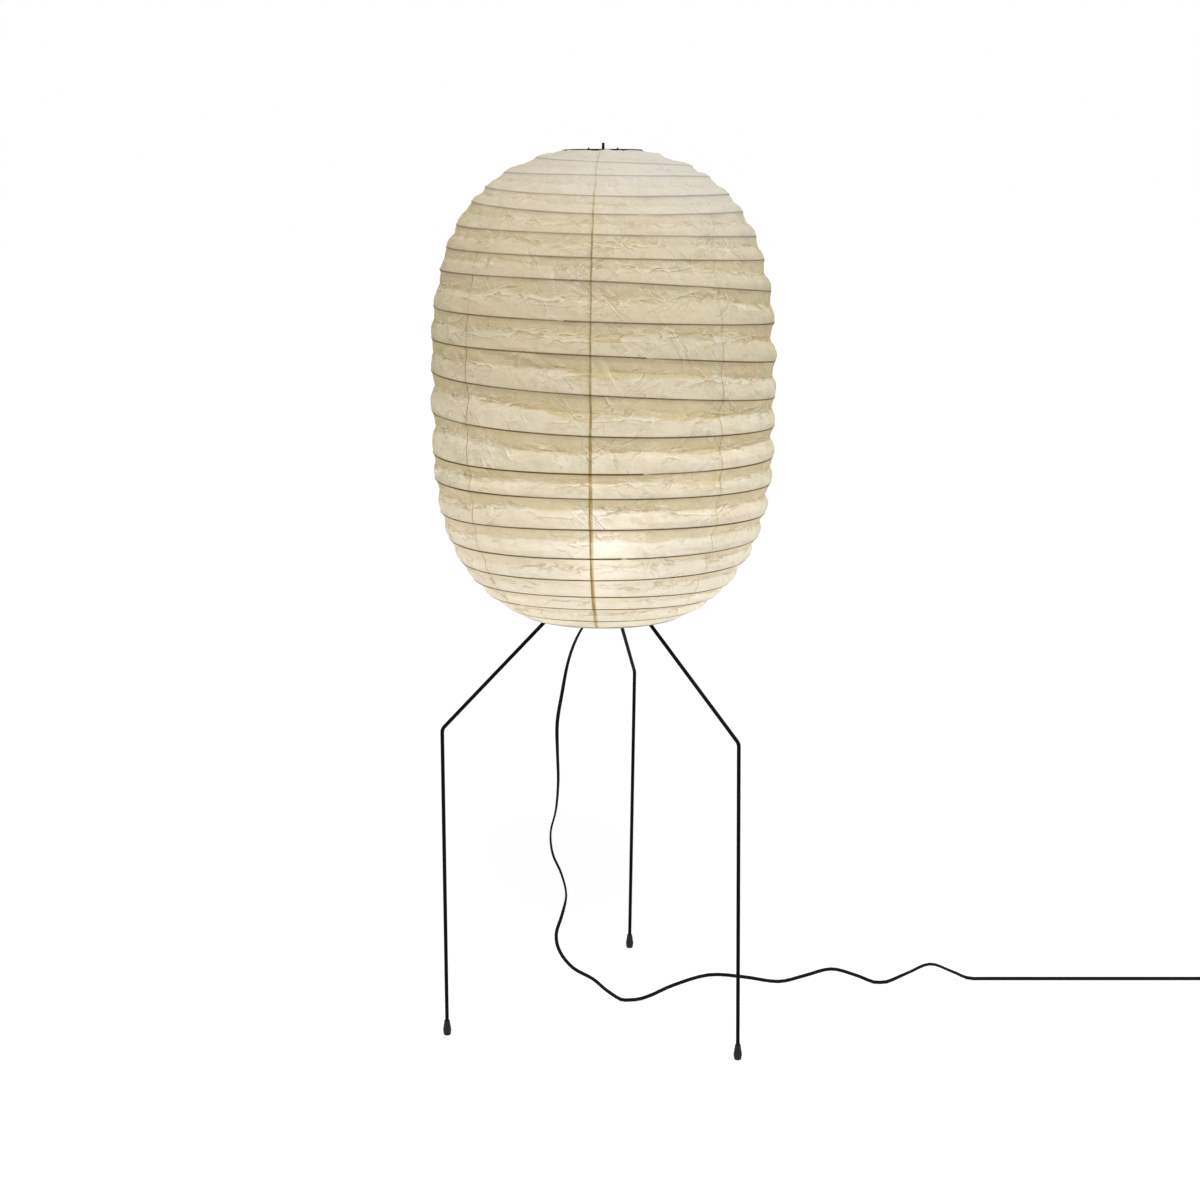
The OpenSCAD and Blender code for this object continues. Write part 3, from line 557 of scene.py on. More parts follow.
def bandDepth(s, gap, q, fold, sharp):
    # a soft band dips just under its upper rib; a sharp one folds in a V, then stands proud at an elbow
    elbow = paper["elbowAt"] + 0.06 * wander(q, 6, (1.1, 0.27))
    deep = gap * (0.06 + 0.085 * sharp) * (1 + 0.3 * wander(q, 3, (1.9, 0.7, 0.33)))
    proud = gap * (0.022 - 0.072 * sharp) * (1 + 0.3 * wander(q, 7, (1.3, 0.45)))
    return bentLine(s, [
        (0, 0), (0.12, deep * (0.72 - 0.37 * sharp)), (fold, deep),
        (0.5 * (fold + elbow), 0.3 * deep + 0.5 * proud), (elbow, proud),
        (0.5 * (elbow + 1), 0.6 * proud), (1, 0),
    ])


def onSpiral(q):
    return (q > shade["spiralFrom"]) & (q < shade["spiralTo"])


def foldedBand(k, azimuth, q, high, low, closing):
    # the paper between two turns: heights, depth under the outline, and what the finish reads
    gap = np.hypot(high - low, outlineRadius(high) - outlineRadius(low))
    rows = paper["rows"] if gap.max() > paper["narrow"] else paper["narrowRows"]
    u = np.arange(rows + closing)[:, None] / rows
    # rows crowd towards both ribs
    s = u - 0.8 * np.sin(2 * np.pi * u) / (2 * np.pi)
    whole = np.ones_like(s * gap)
    fold = paper["foldAt"] + 0.05 * wander(q, 1, (1.7, 0.9)) + 0.035 * wander(q, 2, (0.31, 0.17, 0.09))
    sharp = sharpness(azimuth, q, (high + low) / 2) * whole
    drawn = bandDepth(s, gap, q, fold, sharp)
    # each rib pushes the paper out by half a millimetre
    fromHigh, fromLow = s * gap, (1 - s) * gap
    for there, away in ((onSpiral(q), fromHigh), (onSpiral(q + 4), fromLow)):
        drawn = drawn - 0.5 * there * np.exp(-(away / 1.2) ** 2)
    share = np.where(s < fold, 0.5 * np.clip(s / fold, 0, 1), 1 - 0.5 * np.clip((1 - s) / (1 - fold), 0, 1))
    rib = np.minimum(np.where(onSpiral(q), fromHigh, 30), np.where(onSpiral(q + 4), fromLow, 30))
    return {
        "z": high + s * (low - high), "drawn": drawn, "share": share, "gap": gap * whole, "rib": rib,
        "q": np.where(fromHigh < fromLow, q, q + 4) * whole, "sharp": sharp,
        "shift": seamShift(k, azimuth, q, gap, share),
    }


def gorePiece(k):
    start = shade["firstSeam"] + goreAngle * k
    lap = math.degrees(paper["lap"] / shade["radius"])
    azimuth = np.concatenate([
        [start - lap, start - lap / 2], np.linspace(start, start + goreAngle, paper["columns"])
    ])
    q0 = (azimuth - 180) / 90 + (4 if k == 0 else 0)
    edge = np.ones((1, len(azimuth)))
    heights = np.concatenate([
        edge * shade["top"], turnHeight(q0 + 4 * np.arange(-1, 20)[:, None]), edge * shade["bottom"]
    ])
    last = len(heights) - 2
    bands = [
        foldedBand(k, azimuth, q0 + 4 * (j - 2), heights[j], heights[j + 1], j == last)
        for j in range(last + 1)
    ]
    z, drawn, share, gap, rib, q, sharp, shift = (
        np.concatenate([band[key] for band in bands]) for key in bands[0]
    )
    az = azimuth * np.ones_like(z)
    away = np.minimum(np.abs(az - start), np.abs(az - start - goreAngle)) * np.pi / 180 * outlineRadius(z)
    pressed, mark = pressCreases(az, z)
    # crumples fade at a seam, and all relief fades at the ribs and in the lowest bands
    pressed = pressed + crumpleDepth(az, z, share) * np.clip(away / 6, 0.1 * (0 < k < 7), 1)
    drawn = drawn + pressed * np.clip(rib / 7, 0, 1) * np.clip(gap / 26, 0, 1)
    # ridges and hollows: how far each point stands off the mean of its neighbours, which the finish paints as
    # highlight and shade
    edged = np.pad(drawn, 1, mode="edge")
    hollow = drawn - (edged[:-2, 1:-1] + edged[2:, 1:-1] + edged[1:-1, :-2] + edged[1:-1, 2:]) / 4
    # the lap lies on its neighbour
    lift = np.zeros_like(z)
    lift[:, :3] = paper["lapLift"] * np.array([1, 1, 0.6])
    radius, height = outlinePoint(z, drawn + paper["clear"] - lift)
    turned = np.radians(az) + shift / np.maximum(radius, 60)
    points = np.stack([radius * np.cos(turned), radius * np.sin(turned), height], -1) * mm
    return meshPiece(
        f"paper_gore_{k + 1}", points.reshape(-1, 3), [gridFaces(*z.shape)[:, ::-1]], "shade", "washi_paper",
        (f"gore_{k + 1}",),
        facts={
            "share": share, "gap": gap, "rib": rib, "seam": away, "tone": ribTone(q), "sharp": sharp,
            "arc": np.radians(az) * 0.25, "hollow": hollow, "mark": mark,
            "front": 1.0 * (np.abs(az - paper["front"]) < 6),
        },
    )


gores = [gorePiece(k) for k in range(shade["gores"])]
print("paper hung,", sum(len(g.data.polygons) for g in gores), "quads")

# the hem round the bottom hoop, in millimetres
hem = {
    "hoop": 131.5, "wire": 1.5, "thickness": 0.45, "lap": 7.0, "columns": 240,
    # the same for the whole hem, for the paper's finish: no rib, seam or crease near
    "facts": {
        "share": 0.9, "gap": 10, "rib": 30, "seam": 40, "tone": 0.5, "hollow": 0, "front": 0, "mark": 0,
        "sharp": 0.5,
    },
}


def hemPiece():
    # the bottom edge is turned up round the hoop: an arc under the wire and a strip inside it
    a = np.linspace(0.15, -np.pi - 0.1, 14)
    wire = hem["wire"] + hem["thickness"]
    r = hem["hoop"] + np.concatenate([[2.8, 2.4], wire * np.cos(a), [-2.1, -2.3, -2.4]])
    z = shade["bottom"] + np.concatenate([[3.5, 1.4], wire * np.sin(a), [2, 5, hem["lap"]]])
    t = around(hem["columns"])
    wave = 0.25 * np.sin(t * 23) + 0.2 * np.sin(t * 37 + 1) + 0.15 * np.sin(t * 61 + 2)
    fade = np.linspace(0, 1, len(r))[:, None] ** 4
    height = z[:, None] + wave * fade * 2
    points = np.stack([r[:, None] * np.cos(t), r[:, None] * np.sin(t), height], -1).reshape(-1, 3) * mm
    facts = {name: np.full(len(points), value) for name, value in hem["facts"].items()}
    facts["arc"] = np.tile(t * 0.13, len(r))
    faces = [gridFaces(len(r), len(t), True)[:, ::-1]]
    return meshPiece("paper_hem", points, faces, "shade", "washi_paper", (), facts=facts)


hemPiece()

# the bamboo strip, in millimetres: how far its middle lies under the outline, its height and thickness
strip = {"depth": 1.9, "high": 2.0, "thick": 1.7, "squareness": 0.7, "steps": 96, "corners": 10}


def bambooPiece():
    # a split strip along the spiral: flat against the paper, rounded inside, thicker where two ends lap
    q = np.arange(shade["spiralFrom"], shade["spiralTo"], 4 / strip["steps"])
    radius, z = outlinePoint(turnHeight(q), strip["depth"])
    a = np.radians(180 + 90 * q)
    path = np.stack([radius * np.cos(a), radius * np.sin(a), z], 1)
    grow = 0.8 + 0.3 * np.clip(ribTone(q), 0.4, 1) + 0.03 * wander(q, 9, (0.4, 0.23))
    b = around(strip["corners"])
    across = squared(np.cos(b), strip["squareness"]) * strip["high"] / 2
    up = squared(np.sin(b), strip["squareness"]) * strip["thick"] / 2
    rings = alongPath(path, [0, 0, 1], across * grow[:, None], up * np.minimum(grow, 1)[:, None])
    points, faces = loft(rings * mm)
    along = np.repeat(q * 0.4, len(b))
    facts = {"along": np.concatenate([along, along[[0, -1]]])}
    return meshPiece("bamboo_strip", points, faces, "shade", "bamboo", ("bamboo_spiral",), facts=facts)


bambooPiece()
print("bamboo wound")


def finish(name):
    material = bpy.data.materials.new(name)
    material.use_nodes = True
    material.node_tree.nodes.clear()
    return material, material.node_tree


def put(tree, kind, sockets=None, **settings):
    # the outputs of a new node: settings are its properties, sockets are values or links by name or number
    made = tree.nodes.new(kind if "NodeGroup" in kind else "ShaderNode" + kind)
    for key, value in settings.items():
        setattr(made, key, value)
    for key, value in (sockets or {}).items():
        if isinstance(value, bpy.types.NodeSocket):
            tree.links.new(value, made.inputs[key])
        else:
            made.inputs[key].default_value = value
    return made.outputs


def joining(how):
    # a function that joins a link and one or more values, one after another
    def join(first, *rest):
        for value in rest:
            first = put(first.id_data, "Math", {0: first, 1: value}, operation=how)[0]
        return first
    return join


plus, minus, times = joining("ADD"), joining("SUBTRACT"), joining("MULTIPLY")
larger, smaller = joining("MAXIMUM"), joining("MINIMUM")


def awayFrom(value, middle):
    # |value - middle|
    return put(value.id_data, "Math", {0: minus(value, middle)}, operation="ABSOLUTE")[0]


def blendColour(share, a, b, how="MIX"):
    a, b = (v if isinstance(v, bpy.types.NodeSocket) else (*v, 1) for v in (a, b))
    return put(share.id_data, "Mix", {0: share, 6: a, 7: b}, data_type="RGBA", blend_type=how)[2]


def layered(colour, *layers):
    # layers (share, ink) laid over the colour in their order
    for share, ink in layers:
        colour = blendColour(share, colour, ink)
    return colour


def rangeOf(value, low, high, toLow=0.0, toHigh=1.0, smooth=True):
    return put(
        value.id_data, "MapRange", {0: value, 1: low, 2: high, 3: toLow, 4: toHigh},
        interpolation_type="SMOOTHSTEP" if smooth else "LINEAR",
    )[0]


def noiseOf(place, scale, detail=3.0, rough=0.55, warp=0.0):
    return put(place.id_data, "TexNoise", {
        "Vector": place, "Scale": scale, "Detail": detail, "Roughness": rough, "Distortion": warp,
    })[0]


def placeOf(tree):
    return put(tree, "TexCoord")["Object"]


def factOf(tree, name):
    return put(tree, "Attribute", attribute_name=name)["Fac"]


def bumpOf(height, strength, distance):
    sockets = {"Strength": strength, "Distance": distance, "Height": height}
    return put(height.id_data, "Bump", sockets)[0]


def grainGroup():
    # uneven colour, gloss and height from two sizes of noise, for every moulded, painted or cast piece
    group = bpy.data.node_groups.new("grain", "ShaderNodeTree")
    for name, kind, value in (
        ("Light", "Color", (0.5, 0.5, 0.5, 1)), ("Dark", "Color", (0.2, 0.2, 0.2, 1)),
        ("Scale", "Float", 200.0), ("Smooth", "Float", 0.3), ("Rough", "Float", 0.6),
    ):
        made = group.interface.new_socket(name, in_out="INPUT", socket_type="NodeSocket" + kind)
        made.default_value = value
    for name, kind in (("Color", "Color"), ("Roughness", "Float"), ("Height", "Float")):
        group.interface.new_socket(name, in_out="OUTPUT", socket_type="NodeSocket" + kind)
    into, out = group.nodes.new("NodeGroupInput").outputs, group.nodes.new("NodeGroupOutput").inputs
    place = placeOf(group)
    fine = noiseOf(place, into["Scale"], 3)
    broad = noiseOf(place, times(into["Scale"], 0.09), 4)
    share = rangeOf(plus(times(fine, 0.45), times(broad, 0.55)), 0.3, 0.7)
    colour = put(group, "Mix", {0: share, 6: into["Dark"], 7: into["Light"]}, data_type="RGBA")[2]
    gloss = rangeOf(broad, 0.3, 0.7, into["Smooth"], into["Rough"], False)
    for name, value in (("Color", colour), ("Roughness", gloss), ("Height", fine)):
        group.links.new(value, out[name])
    return group


grain = grainGroup()


def grainFinish(name, light, dark, scale, smooth, rough, bump, metallic=0.0, specular=0.5):
    # one shader over the shared grain
    material, tree = finish(name)
    base = put(tree, "ShaderNodeGroup", {
        "Light": (*light, 1), "Dark": (*dark, 1), "Scale": scale, "Smooth": smooth, "Rough": rough,
    }, node_tree=grain)
    skin = put(tree, "BsdfPrincipled", {
        "Base Color": base["Color"], "Roughness": base["Roughness"], "Metallic": metallic,
        "Specular IOR Level": specular, "Normal": bumpOf(base["Height"], 0.6, bump),
    })
    put(tree, "OutputMaterial", {"Surface": skin[0]})
    return material


# name, light and dark colour, scale per metre, least and greatest roughness and bump in metres, then metallic
# and specular level where they aren't the shader's own
grains = {
    "black_steel": (
        "satin black steel", (0.0035, 0.0035, 0.0035), (0.0015, 0.0015, 0.0015),
        900, 0.4, 0.55, 0.0002, 0.0, 0.05,
    ),
    "foot_rubber": (
        "foot rubber", (0.014, 0.014, 0.014), (0.006, 0.006, 0.006), 500, 0.55, 0.75, 0.0004, 0.0, 0.25,
    ),
    "bright_steel": ("dark steel", (0.30, 0.30, 0.31), (0.18, 0.18, 0.19), 700, 0.25, 0.42, 0.0001, 1.0),
    "black_phenolic": (
        "black phenolic", (0.020, 0.019, 0.018), (0.010, 0.010, 0.010), 160, 0.18, 0.30, 0.0001,
    ),
    "porcelain": ("porcelain", (0.80, 0.78, 0.73), (0.68, 0.65, 0.59), 240, 0.12, 0.25, 0.0001),
    "brass": ("brass", (0.74, 0.52, 0.20), (0.55, 0.37, 0.13), 420, 0.22, 0.42, 0.0001, 1.0),
    "base_metal": ("bulb base metal", (0.72, 0.72, 0.71), (0.50, 0.50, 0.49), 380, 0.25, 0.45, 0.0001, 1.0),
    "cord_vinyl": (
        "lead vinyl", (0.004, 0.004, 0.004), (0.002, 0.002, 0.002), 420, 0.45, 0.6, 0.0002, 0.0, 0.08,
    ),
    "relief_rubber": ("relief rubber", (0.018, 0.018, 0.018), (0.010, 0.010, 0.010), 460, 0.5, 0.7, 0.0003),
    "tie": ("woven strap", (0.050, 0.050, 0.052), (0.018, 0.018, 0.019), 900, 0.75, 0.95, 0.0006),
}

# inks of the paper; the ochre and green under each rib, its warm cast, the darker band, the crown and lit are
# painted light and shade, the crease and wrinkle inks are painted shade in creases, and the fibre ink also
# gives their painted highlight
paperInk = {
    "pale": (0.705, 0.64, 0.475), "palest": (0.765, 0.712, 0.585), "pinkish": (0.745, 0.635, 0.485),
    "greenish": (0.65, 0.61, 0.44), "green": (0.575, 0.505, 0.29), "paintedOchreShade": (0.625, 0.505, 0.30),
    "paintedShadeBand": (0.60, 0.52, 0.335), "paintedWarmCast": (1.0, 0.955, 0.84), "lit": (0.86, 0.83, 0.77),
    "crown": (0.685, 0.665, 0.62), "fibre": (0.87, 0.845, 0.77), "crease": (0.35, 0.265, 0.13),
    "wrinkle": (0.47, 0.36, 0.18), "rib": (0.175, 0.075, 0.004), "seamLow": (0.50, 0.37, 0.11),
    "seamHigh": (0.34, 0.25, 0.085),
}
# how much of each effect shows by height: two heights in metres, then the share at each
# the shares of the painted shade under the ribs, its warm cast, the darker band, the crown's painted light
# and the bulb's painted glow (lit) are set here too
paperByHeight = {
    "shaded": (0.80, 1.04, 0.4, 0.95), "paintedWarmCast": (0.96, 1.2, 0.75, 0.0), "lit": (0.74, 0.93, 0.34, 0.0),
    "paintedShadeBand": (0.98, 1.14, 0.0, 0.5), "paintedShadeBandTop": (1.26, 1.38, 0.5, 0.0), "crown": (1.26, 1.42, 0.0, 1.0),
    "creased": (0.76, 0.95, 0.8, 1.0), "creasedTop": (1.24, 1.36, 1.0, 0.3),
    "seamFront": (0.85, 1.15, 1.9, 0.45), "seamSide": (1.08, 1.2, 0.9, 0.15), "tick": (1.22, 1.30, 1.0, 0.1),
    "seamTop": (1.24, 1.38, 1.0, 0.35), "seamInk": (0.85, 1.12, 0.0, 1.0),
    "ribWide": (0.72, 0.86, 1.0, 0.5), "ribDark": (0.96, 1.06, 0.97, 0.8), "ribTop": (1.14, 1.32, 1.0, 0.45),
}
# wrinkles, painted as lines of highlight and shade: turn within the sheet, stretch, warp, width of a line,
# and the patches that show it
wrinkles = {
    "flat": (0.0, (22, 85, 1), 0.7, 0.12, (0.40, 0.54)),
    "slanting": (0.85, (17, 50, 1), 0.9, 0.085, (0.48, 0.62)),
    "steep": (-0.5, (20, 80, 1), 0.5, 0.08, (0.50, 0.64)),
}


def byHeight(z, name):
    return rangeOf(z, *paperByHeight[name])


def paperFacts(tree):
    # what each gore carries, its place in the shade and in the unrolled sheet, and noises of several sizes
    names = ("share", "gap", "rib", "seam", "tone", "arc", "front", "hollow", "mark", "sharp")
    facts = {name: factOf(tree, name) for name in names}
    place = placeOf(tree)
    x, _, z = put(tree, "SeparateXYZ", {0: place})
    sheet = put(tree, "CombineXYZ", {0: facts["arc"], 1: z, 2: 0.0})[0]
    return {
        **facts, "place": place, "x": x, "z": z, "sheet": sheet,
        "fine": noiseOf(place, 330, 4, 0.6), "cloudy": noiseOf(place, 34, 4, 0.62, 0.3),
        "patchy": noiseOf(place, 11, 3, 0.55, 0.5), "hued": noiseOf(place, 19, 3, 0.55, 0.6),
        "reach": noiseOf(sheet, 5.5, 2, 0.5, 0.3),
    }


def raggedShare(facts):
    # the share of the band, with a ragged border that reaches further down in soft bands
    cloudy = times(minus(facts["cloudy"], 0.5), 0.22)
    soft = rangeOf(facts["sharp"], 0.2, 0.9, 0.8, 0.2)
    return plus(facts["share"], cloudy, times(minus(facts["reach"], 0.52), soft))


def paperTints(facts, ragged):
    # pale paper with painted shade: ochre where it faces down under a rib, darker in a band in the upper
    # half, and painted light at the crown
    z, hued = facts["z"], facts["hued"]
    under = rangeOf(ragged, 0.46, 0.52, 1.0, 0.0)
    shaded = times(
        under, rangeOf(ragged, 0.0, 0.48, 0.5, 1.0), rangeOf(facts["gap"], 10, 26, 0.2, 1.0),
        rangeOf(facts["patchy"], 0.32, 0.55, 0.5, 1.0), rangeOf(facts["sharp"], 0.0, 0.9, 0.8, 1.0),
        byHeight(z, "shaded"),
    )
    paintedOchreShade = blendColour(rangeOf(hued, 0.44, 0.56), paperInk["green"], paperInk["paintedOchreShade"])
    colour = layered(
        paperInk["pale"], (rangeOf(facts["cloudy"], 0.3, 0.7), paperInk["palest"]),
        (rangeOf(hued, 0.52, 0.66, 0.0, 0.5), paperInk["pinkish"]),
        (rangeOf(hued, 0.34, 0.48, 0.5, 0.0), paperInk["greenish"]),
        (smaller(byHeight(z, "paintedShadeBand"), byHeight(z, "paintedShadeBandTop")), paperInk["paintedShadeBand"]),
        (shaded, paintedOchreShade),
    )
    # a painted warm cast in the shade under each rib
    paintedWarmCast = times(under, byHeight(z, "paintedWarmCast"))
    colour = blendColour(paintedWarmCast, colour, paperInk["paintedWarmCast"], "MULTIPLY")
    # painted light on the crown, reaching lower on the right where the right lamp falls, and a painted glow
    # from the bulb low down; loose fibres lie in the sheet
    crownLightHeight = plus(z, times(facts["x"], 0.2))
    strand = awayFrom(noiseOf(facts["place"], 75, 1, 0.5, 2.6), 0.5)
    return layered(
        colour, (byHeight(crownLightHeight, "crown"), paperInk["crown"]), (byHeight(z, "lit"), paperInk["lit"]),
        (rangeOf(facts["fine"], 0.4, 0.75, 0.0, 0.16), paperInk["fibre"]),
        (rangeOf(strand, 0.0, 0.012, 0.22, 0.0), paperInk["fibre"]),
    )


def wrinkle(sheet, kind):
    # lines where a stretched noise crosses its middle: a painted highlight on one side and painted shade on
    # the other, shown in patches
    turn, stretch, warp, width, patches = wrinkles[kind]
    tree = sheet.id_data
    turned = put(tree, "VectorRotate", {"Vector": sheet, "Angle": turn}, rotation_type="Z_AXIS")[0]
    place = put(tree, "VectorMath", {0: turned, 1: stretch}, operation="MULTIPLY")[0]
    level = noiseOf(place, 1.0, 2.5, 0.5, warp)
    shown = rangeOf(noiseOf(place, 0.45, 2), *patches)
    rise, drop = rangeOf(level, 0.5 - width, 0.5), rangeOf(level, 0.5, 0.5 + width * 0.2, 1.0, 0.0)
    light = times(smaller(rise, drop), shown)
    rise = rangeOf(level, 0.5 - width * 0.1, 0.5 + width * 0.1)
    drop = rangeOf(level, 0.5, 0.5 + width, 1.0, 0.0)
    return light, times(smaller(drop, rise), shown)


def paperCreases(facts, ragged):
    # painted highlight and painted shade of the flats along the folds, slanting ones anywhere, straight
    # pressed lines, and the ridges and hollows of the crumple
    sheet, z, mark, hollow = (facts[name] for name in ("sheet", "z", "mark", "hollow"))
    atFold = rangeOf(awayFrom(ragged, 0.47), 0.06, 0.30, 1.0, 0.05)
    anyPlace = rangeOf(facts["sharp"], 0.0, 1.0, 0.85, 0.5)
    (flatLight, foldWrinkleShade), (slantLight, slantDark), (steepLight, steepDark) = (
        wrinkle(sheet, kind) for kind in wrinkles
    )
    light = plus(times(flatLight, atFold), times(larger(slantLight, steepLight), anyPlace))
    dark = times(larger(slantDark, steepDark), anyPlace)
    ridge, valley = rangeOf(hollow, -0.5, -0.06, 0.8, 0.0), rangeOf(hollow, 0.06, 0.5, 0.0, 0.8)
    light = larger(light, rangeOf(mark, 0.15, 1.3), ridge)
    dark = larger(dark, rangeOf(mark, -1.1, -0.12, 1.0, 0.0), valley)
    roomy = times(rangeOf(facts["gap"], 8, 26), byHeight(z, "creasedTop"), byHeight(z, "creased"))
    return times(light, roomy), times(dark, roomy), times(foldWrinkleShade, atFold, roomy)


def lineMask(away, wide, fade):
    # 1 on a line and 0 beside it: it fades over a few tenths of a millimetre at its half width
    return rangeOf(away, minus(wide, fade), plus(wide, 0.3), 1.0, 0.0, False)


def paperSeam(facts):
    # a glued lap, wide and olive at the front, a thin brown line elsewhere
    z, front, cloudy = facts["z"], facts["front"], facts["cloudy"]
    wide = plus(times(front, byHeight(z, "seamFront")), 0.55, times(cloudy, 0.7))
    # above its middle a side seam only shows as a dark tick under each rib
    tick = times(rangeOf(facts["share"], 0.1, 0.45, 0.9, 0.0), byHeight(z, "tick"))
    shown = times(
        lineMask(facts["seam"], wide, 0.6), rangeOf(cloudy, 0.3, 0.6, 0.55, 0.9),
        byHeight(z, "seamTop"), larger(front, byHeight(z, "seamSide"), tick),
    )
    return shown, blendColour(byHeight(z, "seamInk"), paperInk["seamLow"], paperInk["seamHigh"])


def paperRib(facts):
    # bamboo shows through as a thin brown line that swells at its splices
    z, tone = facts["z"], facts["tone"]
    wide = plus(byHeight(z, "ribWide"), times(tone, 0.8))
    return times(
        lineMask(facts["rib"], wide, 0.4), rangeOf(tone, 0.05, 0.6, 0.3, 1.0),
        byHeight(z, "ribDark"), byHeight(z, "ribTop"),
    )


def paperFinish():
    material, tree = finish("washi")
    facts = paperFacts(tree)
    ragged = raggedShare(facts)
    light, dark, foldWrinkleShade = paperCreases(facts, ragged)
    # over the tints: painted shade under fold wrinkles, painted highlight and shade along creases, then the
    # seam and the rib
    colour = layered(
        paperTints(facts, ragged), (times(foldWrinkleShade, 0.8), paperInk["wrinkle"]),
        (times(light, 0.38), paperInk["fibre"]), (times(dark, 0.30), paperInk["crease"]),
        paperSeam(facts), (paperRib(facts), paperInk["rib"]),
    )
    height = plus(times(facts["fine"], 0.10), times(light, 0.12))
    height = minus(height, times(dark, 0.12))
    height = plus(height, times(noiseOf(facts["place"], 90, 3, 0.6), 0.25))
    raised = bumpOf(height, 1.0, 0.005)
    skin = put(tree, "BsdfPrincipled", {
        "Base Color": colour, "Roughness": 0.85, "Specular IOR Level": 0.03, "Normal": raised,
    })
    through = put(tree, "BsdfTranslucent", {"Color": colour, "Normal": raised})
    body = put(tree, "MixShader", {0: 0.4, 1: skin[0], 2: through[0]})
    # a little light comes through straight but blurred, so that the bulb shows as a glow
    blurred = put(tree, "BsdfRefraction", {"Color": (1, 1, 0.98, 1), "Roughness": 0.85, "IOR": 1.33})
    whole = put(tree, "MixShader", {0: 0.0135, 1: body[0], 2: blurred[0]})
    put(tree, "OutputMaterial", {"Surface": whole[0]})
    return material


bambooInk = {"dark": (0.23, 0.125, 0.05), "light": (0.42, 0.27, 0.12), "fibre": (0.13, 0.07, 0.03)}


def bambooFinish():
    # long streaks of tone, and short dark fibres
    material, tree = finish("split bamboo")
    along = put(tree, "CombineXYZ", {0: factOf(tree, "along"), 1: 0.0, 2: 0.0})[0]
    streak, fibre = noiseOf(along, 60, 3), noiseOf(placeOf(tree), 900, 2)
    colour = layered(
        bambooInk["dark"], (rangeOf(streak, 0.3, 0.7), bambooInk["light"]),
        (rangeOf(fibre, 0.4, 0.7, 0.0, 0.35), bambooInk["fibre"]),
    )
    skin = put(tree, "BsdfPrincipled", {
        "Base Color": colour, "Roughness": rangeOf(fibre, 0.3, 0.7, 0.42, 0.62),
        "Normal": bumpOf(fibre, 0.5, 0.0004),
    })
    put(tree, "OutputMaterial", {"Surface": skin[0]})
    return material


# the bulb lights the paper at full strength; where the lifted shade bares it, it shows as frosted glass
bulb = {
    "strength": 50.0, "bare": 0.03, "heart": 0.802, "heartReach": 0.04,
    "glass": (0.70, 0.65, 0.56), "frost": (0.78, 0.74, 0.66),
    "warm": (1.0, 0.94, 0.85), "white": (1.0, 0.99, 0.97),
}


def bulbFinish():
    # frosted glass, brighter round its middle where the filament is
    material, tree = finish("lit bulb")
    place = placeOf(tree)
    z = put(tree, "SeparateXYZ", {0: place})[2]
    heart = rangeOf(awayFrom(z, bulb["heart"]), 0.0, bulb["heartReach"], 1.0, 0.0)
    frost = rangeOf(noiseOf(place, 320, 3), 0.3, 0.7)
    seen = put(tree, "LightPath")["Is Camera Ray"]
    skin = put(tree, "BsdfPrincipled", {
        "Base Color": blendColour(frost, bulb["glass"], bulb["frost"]), "Roughness": 0.45,
        "Emission Color": blendColour(heart, bulb["warm"], bulb["white"]),
        "Emission Strength": rangeOf(seen, 0.0, 1.0, bulb["strength"], bulb["bare"], False),
    })
    skin[0].node.inputs["Emission Strength"].default_value = bulb["bare"]
    put(tree, "OutputMaterial", {"Surface": skin[0]})
    return material


finishes = {slot: grainFinish(*values) for slot, values in grains.items()}
finishes["bulb_glass"] = bulbFinish()
finishes["washi_paper"] = paperFinish()
finishes["bamboo"] = bambooFinish()

slotOf = {part["node"]: part["material_slot"] for part in frame["record"]["subparts"]}
for name, piece in nodes.items():
    piece.data.materials.clear()
    piece.data.materials.append(finishes[slotOf[name]])
for piece in bpy.context.scene.objects:
    if piece.type == "MESH" and piece.get("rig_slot") and not piece.get("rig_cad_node"):
        piece.data.materials.append(finishes[piece["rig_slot"]])
print("finishes put on")

# the white floor and the surround
studio = {
    # metres across, how far the floor lies under the feet, and how strongly the surround lights
    "floor": 80.0, "drop": 0.0006, "surround": 0.325,
    # the floor's own white grows from near to far, so that no horizon shows: metres away, then strength
    "near": (1.0, 0.83), "far": (8.0, 0.94),
    # what light the floor gives back to the room, and what of it is seen
    "given": (0.85, 0.85, 0.85, 1), "seen": (0.34, 0.34, 0.34, 1),
}


def seenRays(tree):
    # 1 for rays that show something, and 0 for those that only light it
    path = put(tree, "LightPath")
    return larger(path["Is Camera Ray"], path["Is Glossy Ray"], path["Is Transmission Ray"])


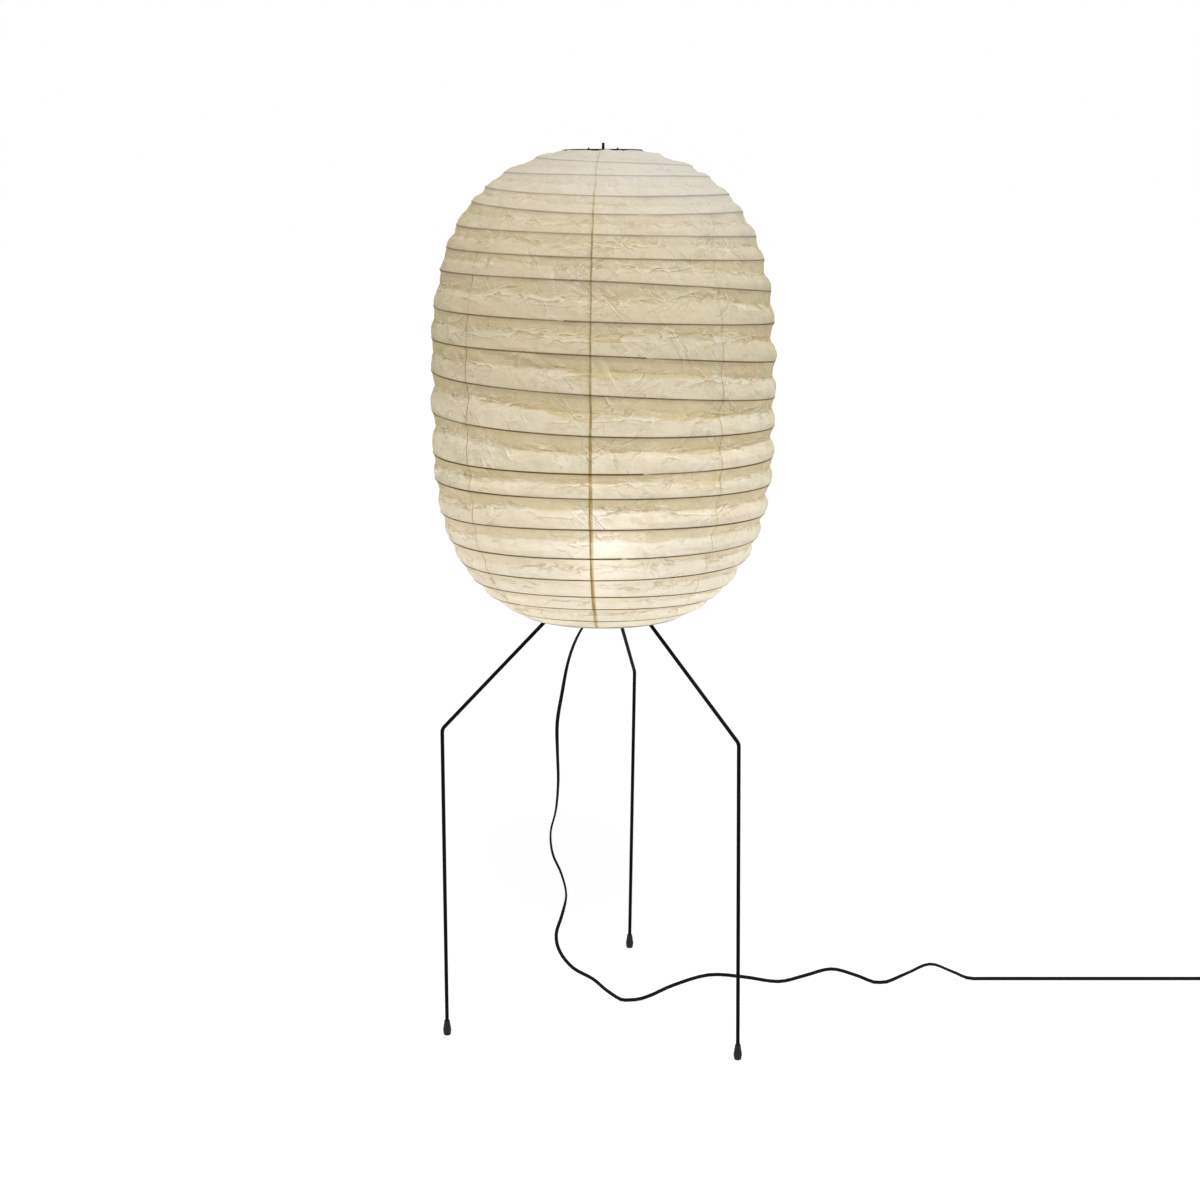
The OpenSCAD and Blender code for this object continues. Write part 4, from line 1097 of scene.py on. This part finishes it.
def floorPiece():
    material, tree = finish("white floor")
    seen = seenRays(tree)
    away = put(tree, "VectorMath", {0: placeOf(tree)}, operation="LENGTH")["Value"]
    (near, nearLevel), (far, farLevel) = studio["near"], studio["far"]
    level = rangeOf(away, near, far, nearLevel, farLevel, False)
    given = put(tree, "BsdfDiffuse", {"Color": studio["given"]})
    faint = put(tree, "BsdfDiffuse", {"Color": studio["seen"]})
    lit = put(tree, "MixShader", {0: seen, 1: given[0], 2: faint[0]})
    white = put(tree, "Emission", {"Color": (1, 1, 1, 1), "Strength": times(seen, level)})
    mixed = put(tree, "AddShader", {0: lit[0], 1: white[0]})
    put(tree, "OutputMaterial", {"Surface": mixed[0]})
    half = studio["floor"] / 2
    corners = [(x * half, y * half, -studio["drop"]) for x, y in ((-1, -1), (1, -1), (1, 1), (-1, 1))]
    mesh = bpy.data.meshes.new("floor")
    mesh.from_pydata(corners, [], [(0, 1, 2, 3)])
    mesh.materials.append(material)
    added("floor", mesh)


def surround():
    # plain white where it is seen, and dimmer in what it lights
    world = bpy.data.worlds.new("studio")
    bpy.context.scene.world = world
    world.use_nodes = True
    tree = world.node_tree
    tree.nodes.clear()
    dim = put(tree, "Background", {"Color": (1, 1, 1, 1), "Strength": studio["surround"]})
    white = put(tree, "Background", {"Color": (1, 1, 1, 1), "Strength": 1.0})
    mixed = put(tree, "MixShader", {0: seenRays(tree), 1: dim[0], 2: white[0]})
    put(tree, "OutputWorld", {"Surface": mixed[0]})


lamps = {
    "overhead": {"place": (0.2, -1.8, 3.6), "aim": (0, 0, 1.0), "size": 1.5, "power": 70.5},
    "rightBox": {
        "place": (2.85, -0.9, 1.9), "aim": (0, 0, 0.9), "size": 1.2, "power": 33.0,
        "colour": (0.74, 0.88, 1.0),
    },
    "leftBox": {"place": (-2.6, -1.6, 1.5), "aim": (0, 0, 0.9), "size": 1.4, "power": 15.0},
}


def lampPieces():
    # round soft lights, each turned towards its aim
    for name, lamp in lamps.items():
        light = bpy.data.lights.new(name, "AREA")
        light.shape, light.size, light.energy = "DISK", lamp["size"], lamp["power"]
        light.color = lamp.get("colour", (1, 1, 1))
        piece = added(name, light)
        piece.location = lamp["place"]
        way = Vector(lamp["aim"]) - piece.location
        piece.rotation_euler = way.to_track_quat("-Z", "Y").to_euler()


floorPiece()
surround()
lampPieces()
bpy.context.scene.view_settings.view_transform = "Standard"
print("studio lit")
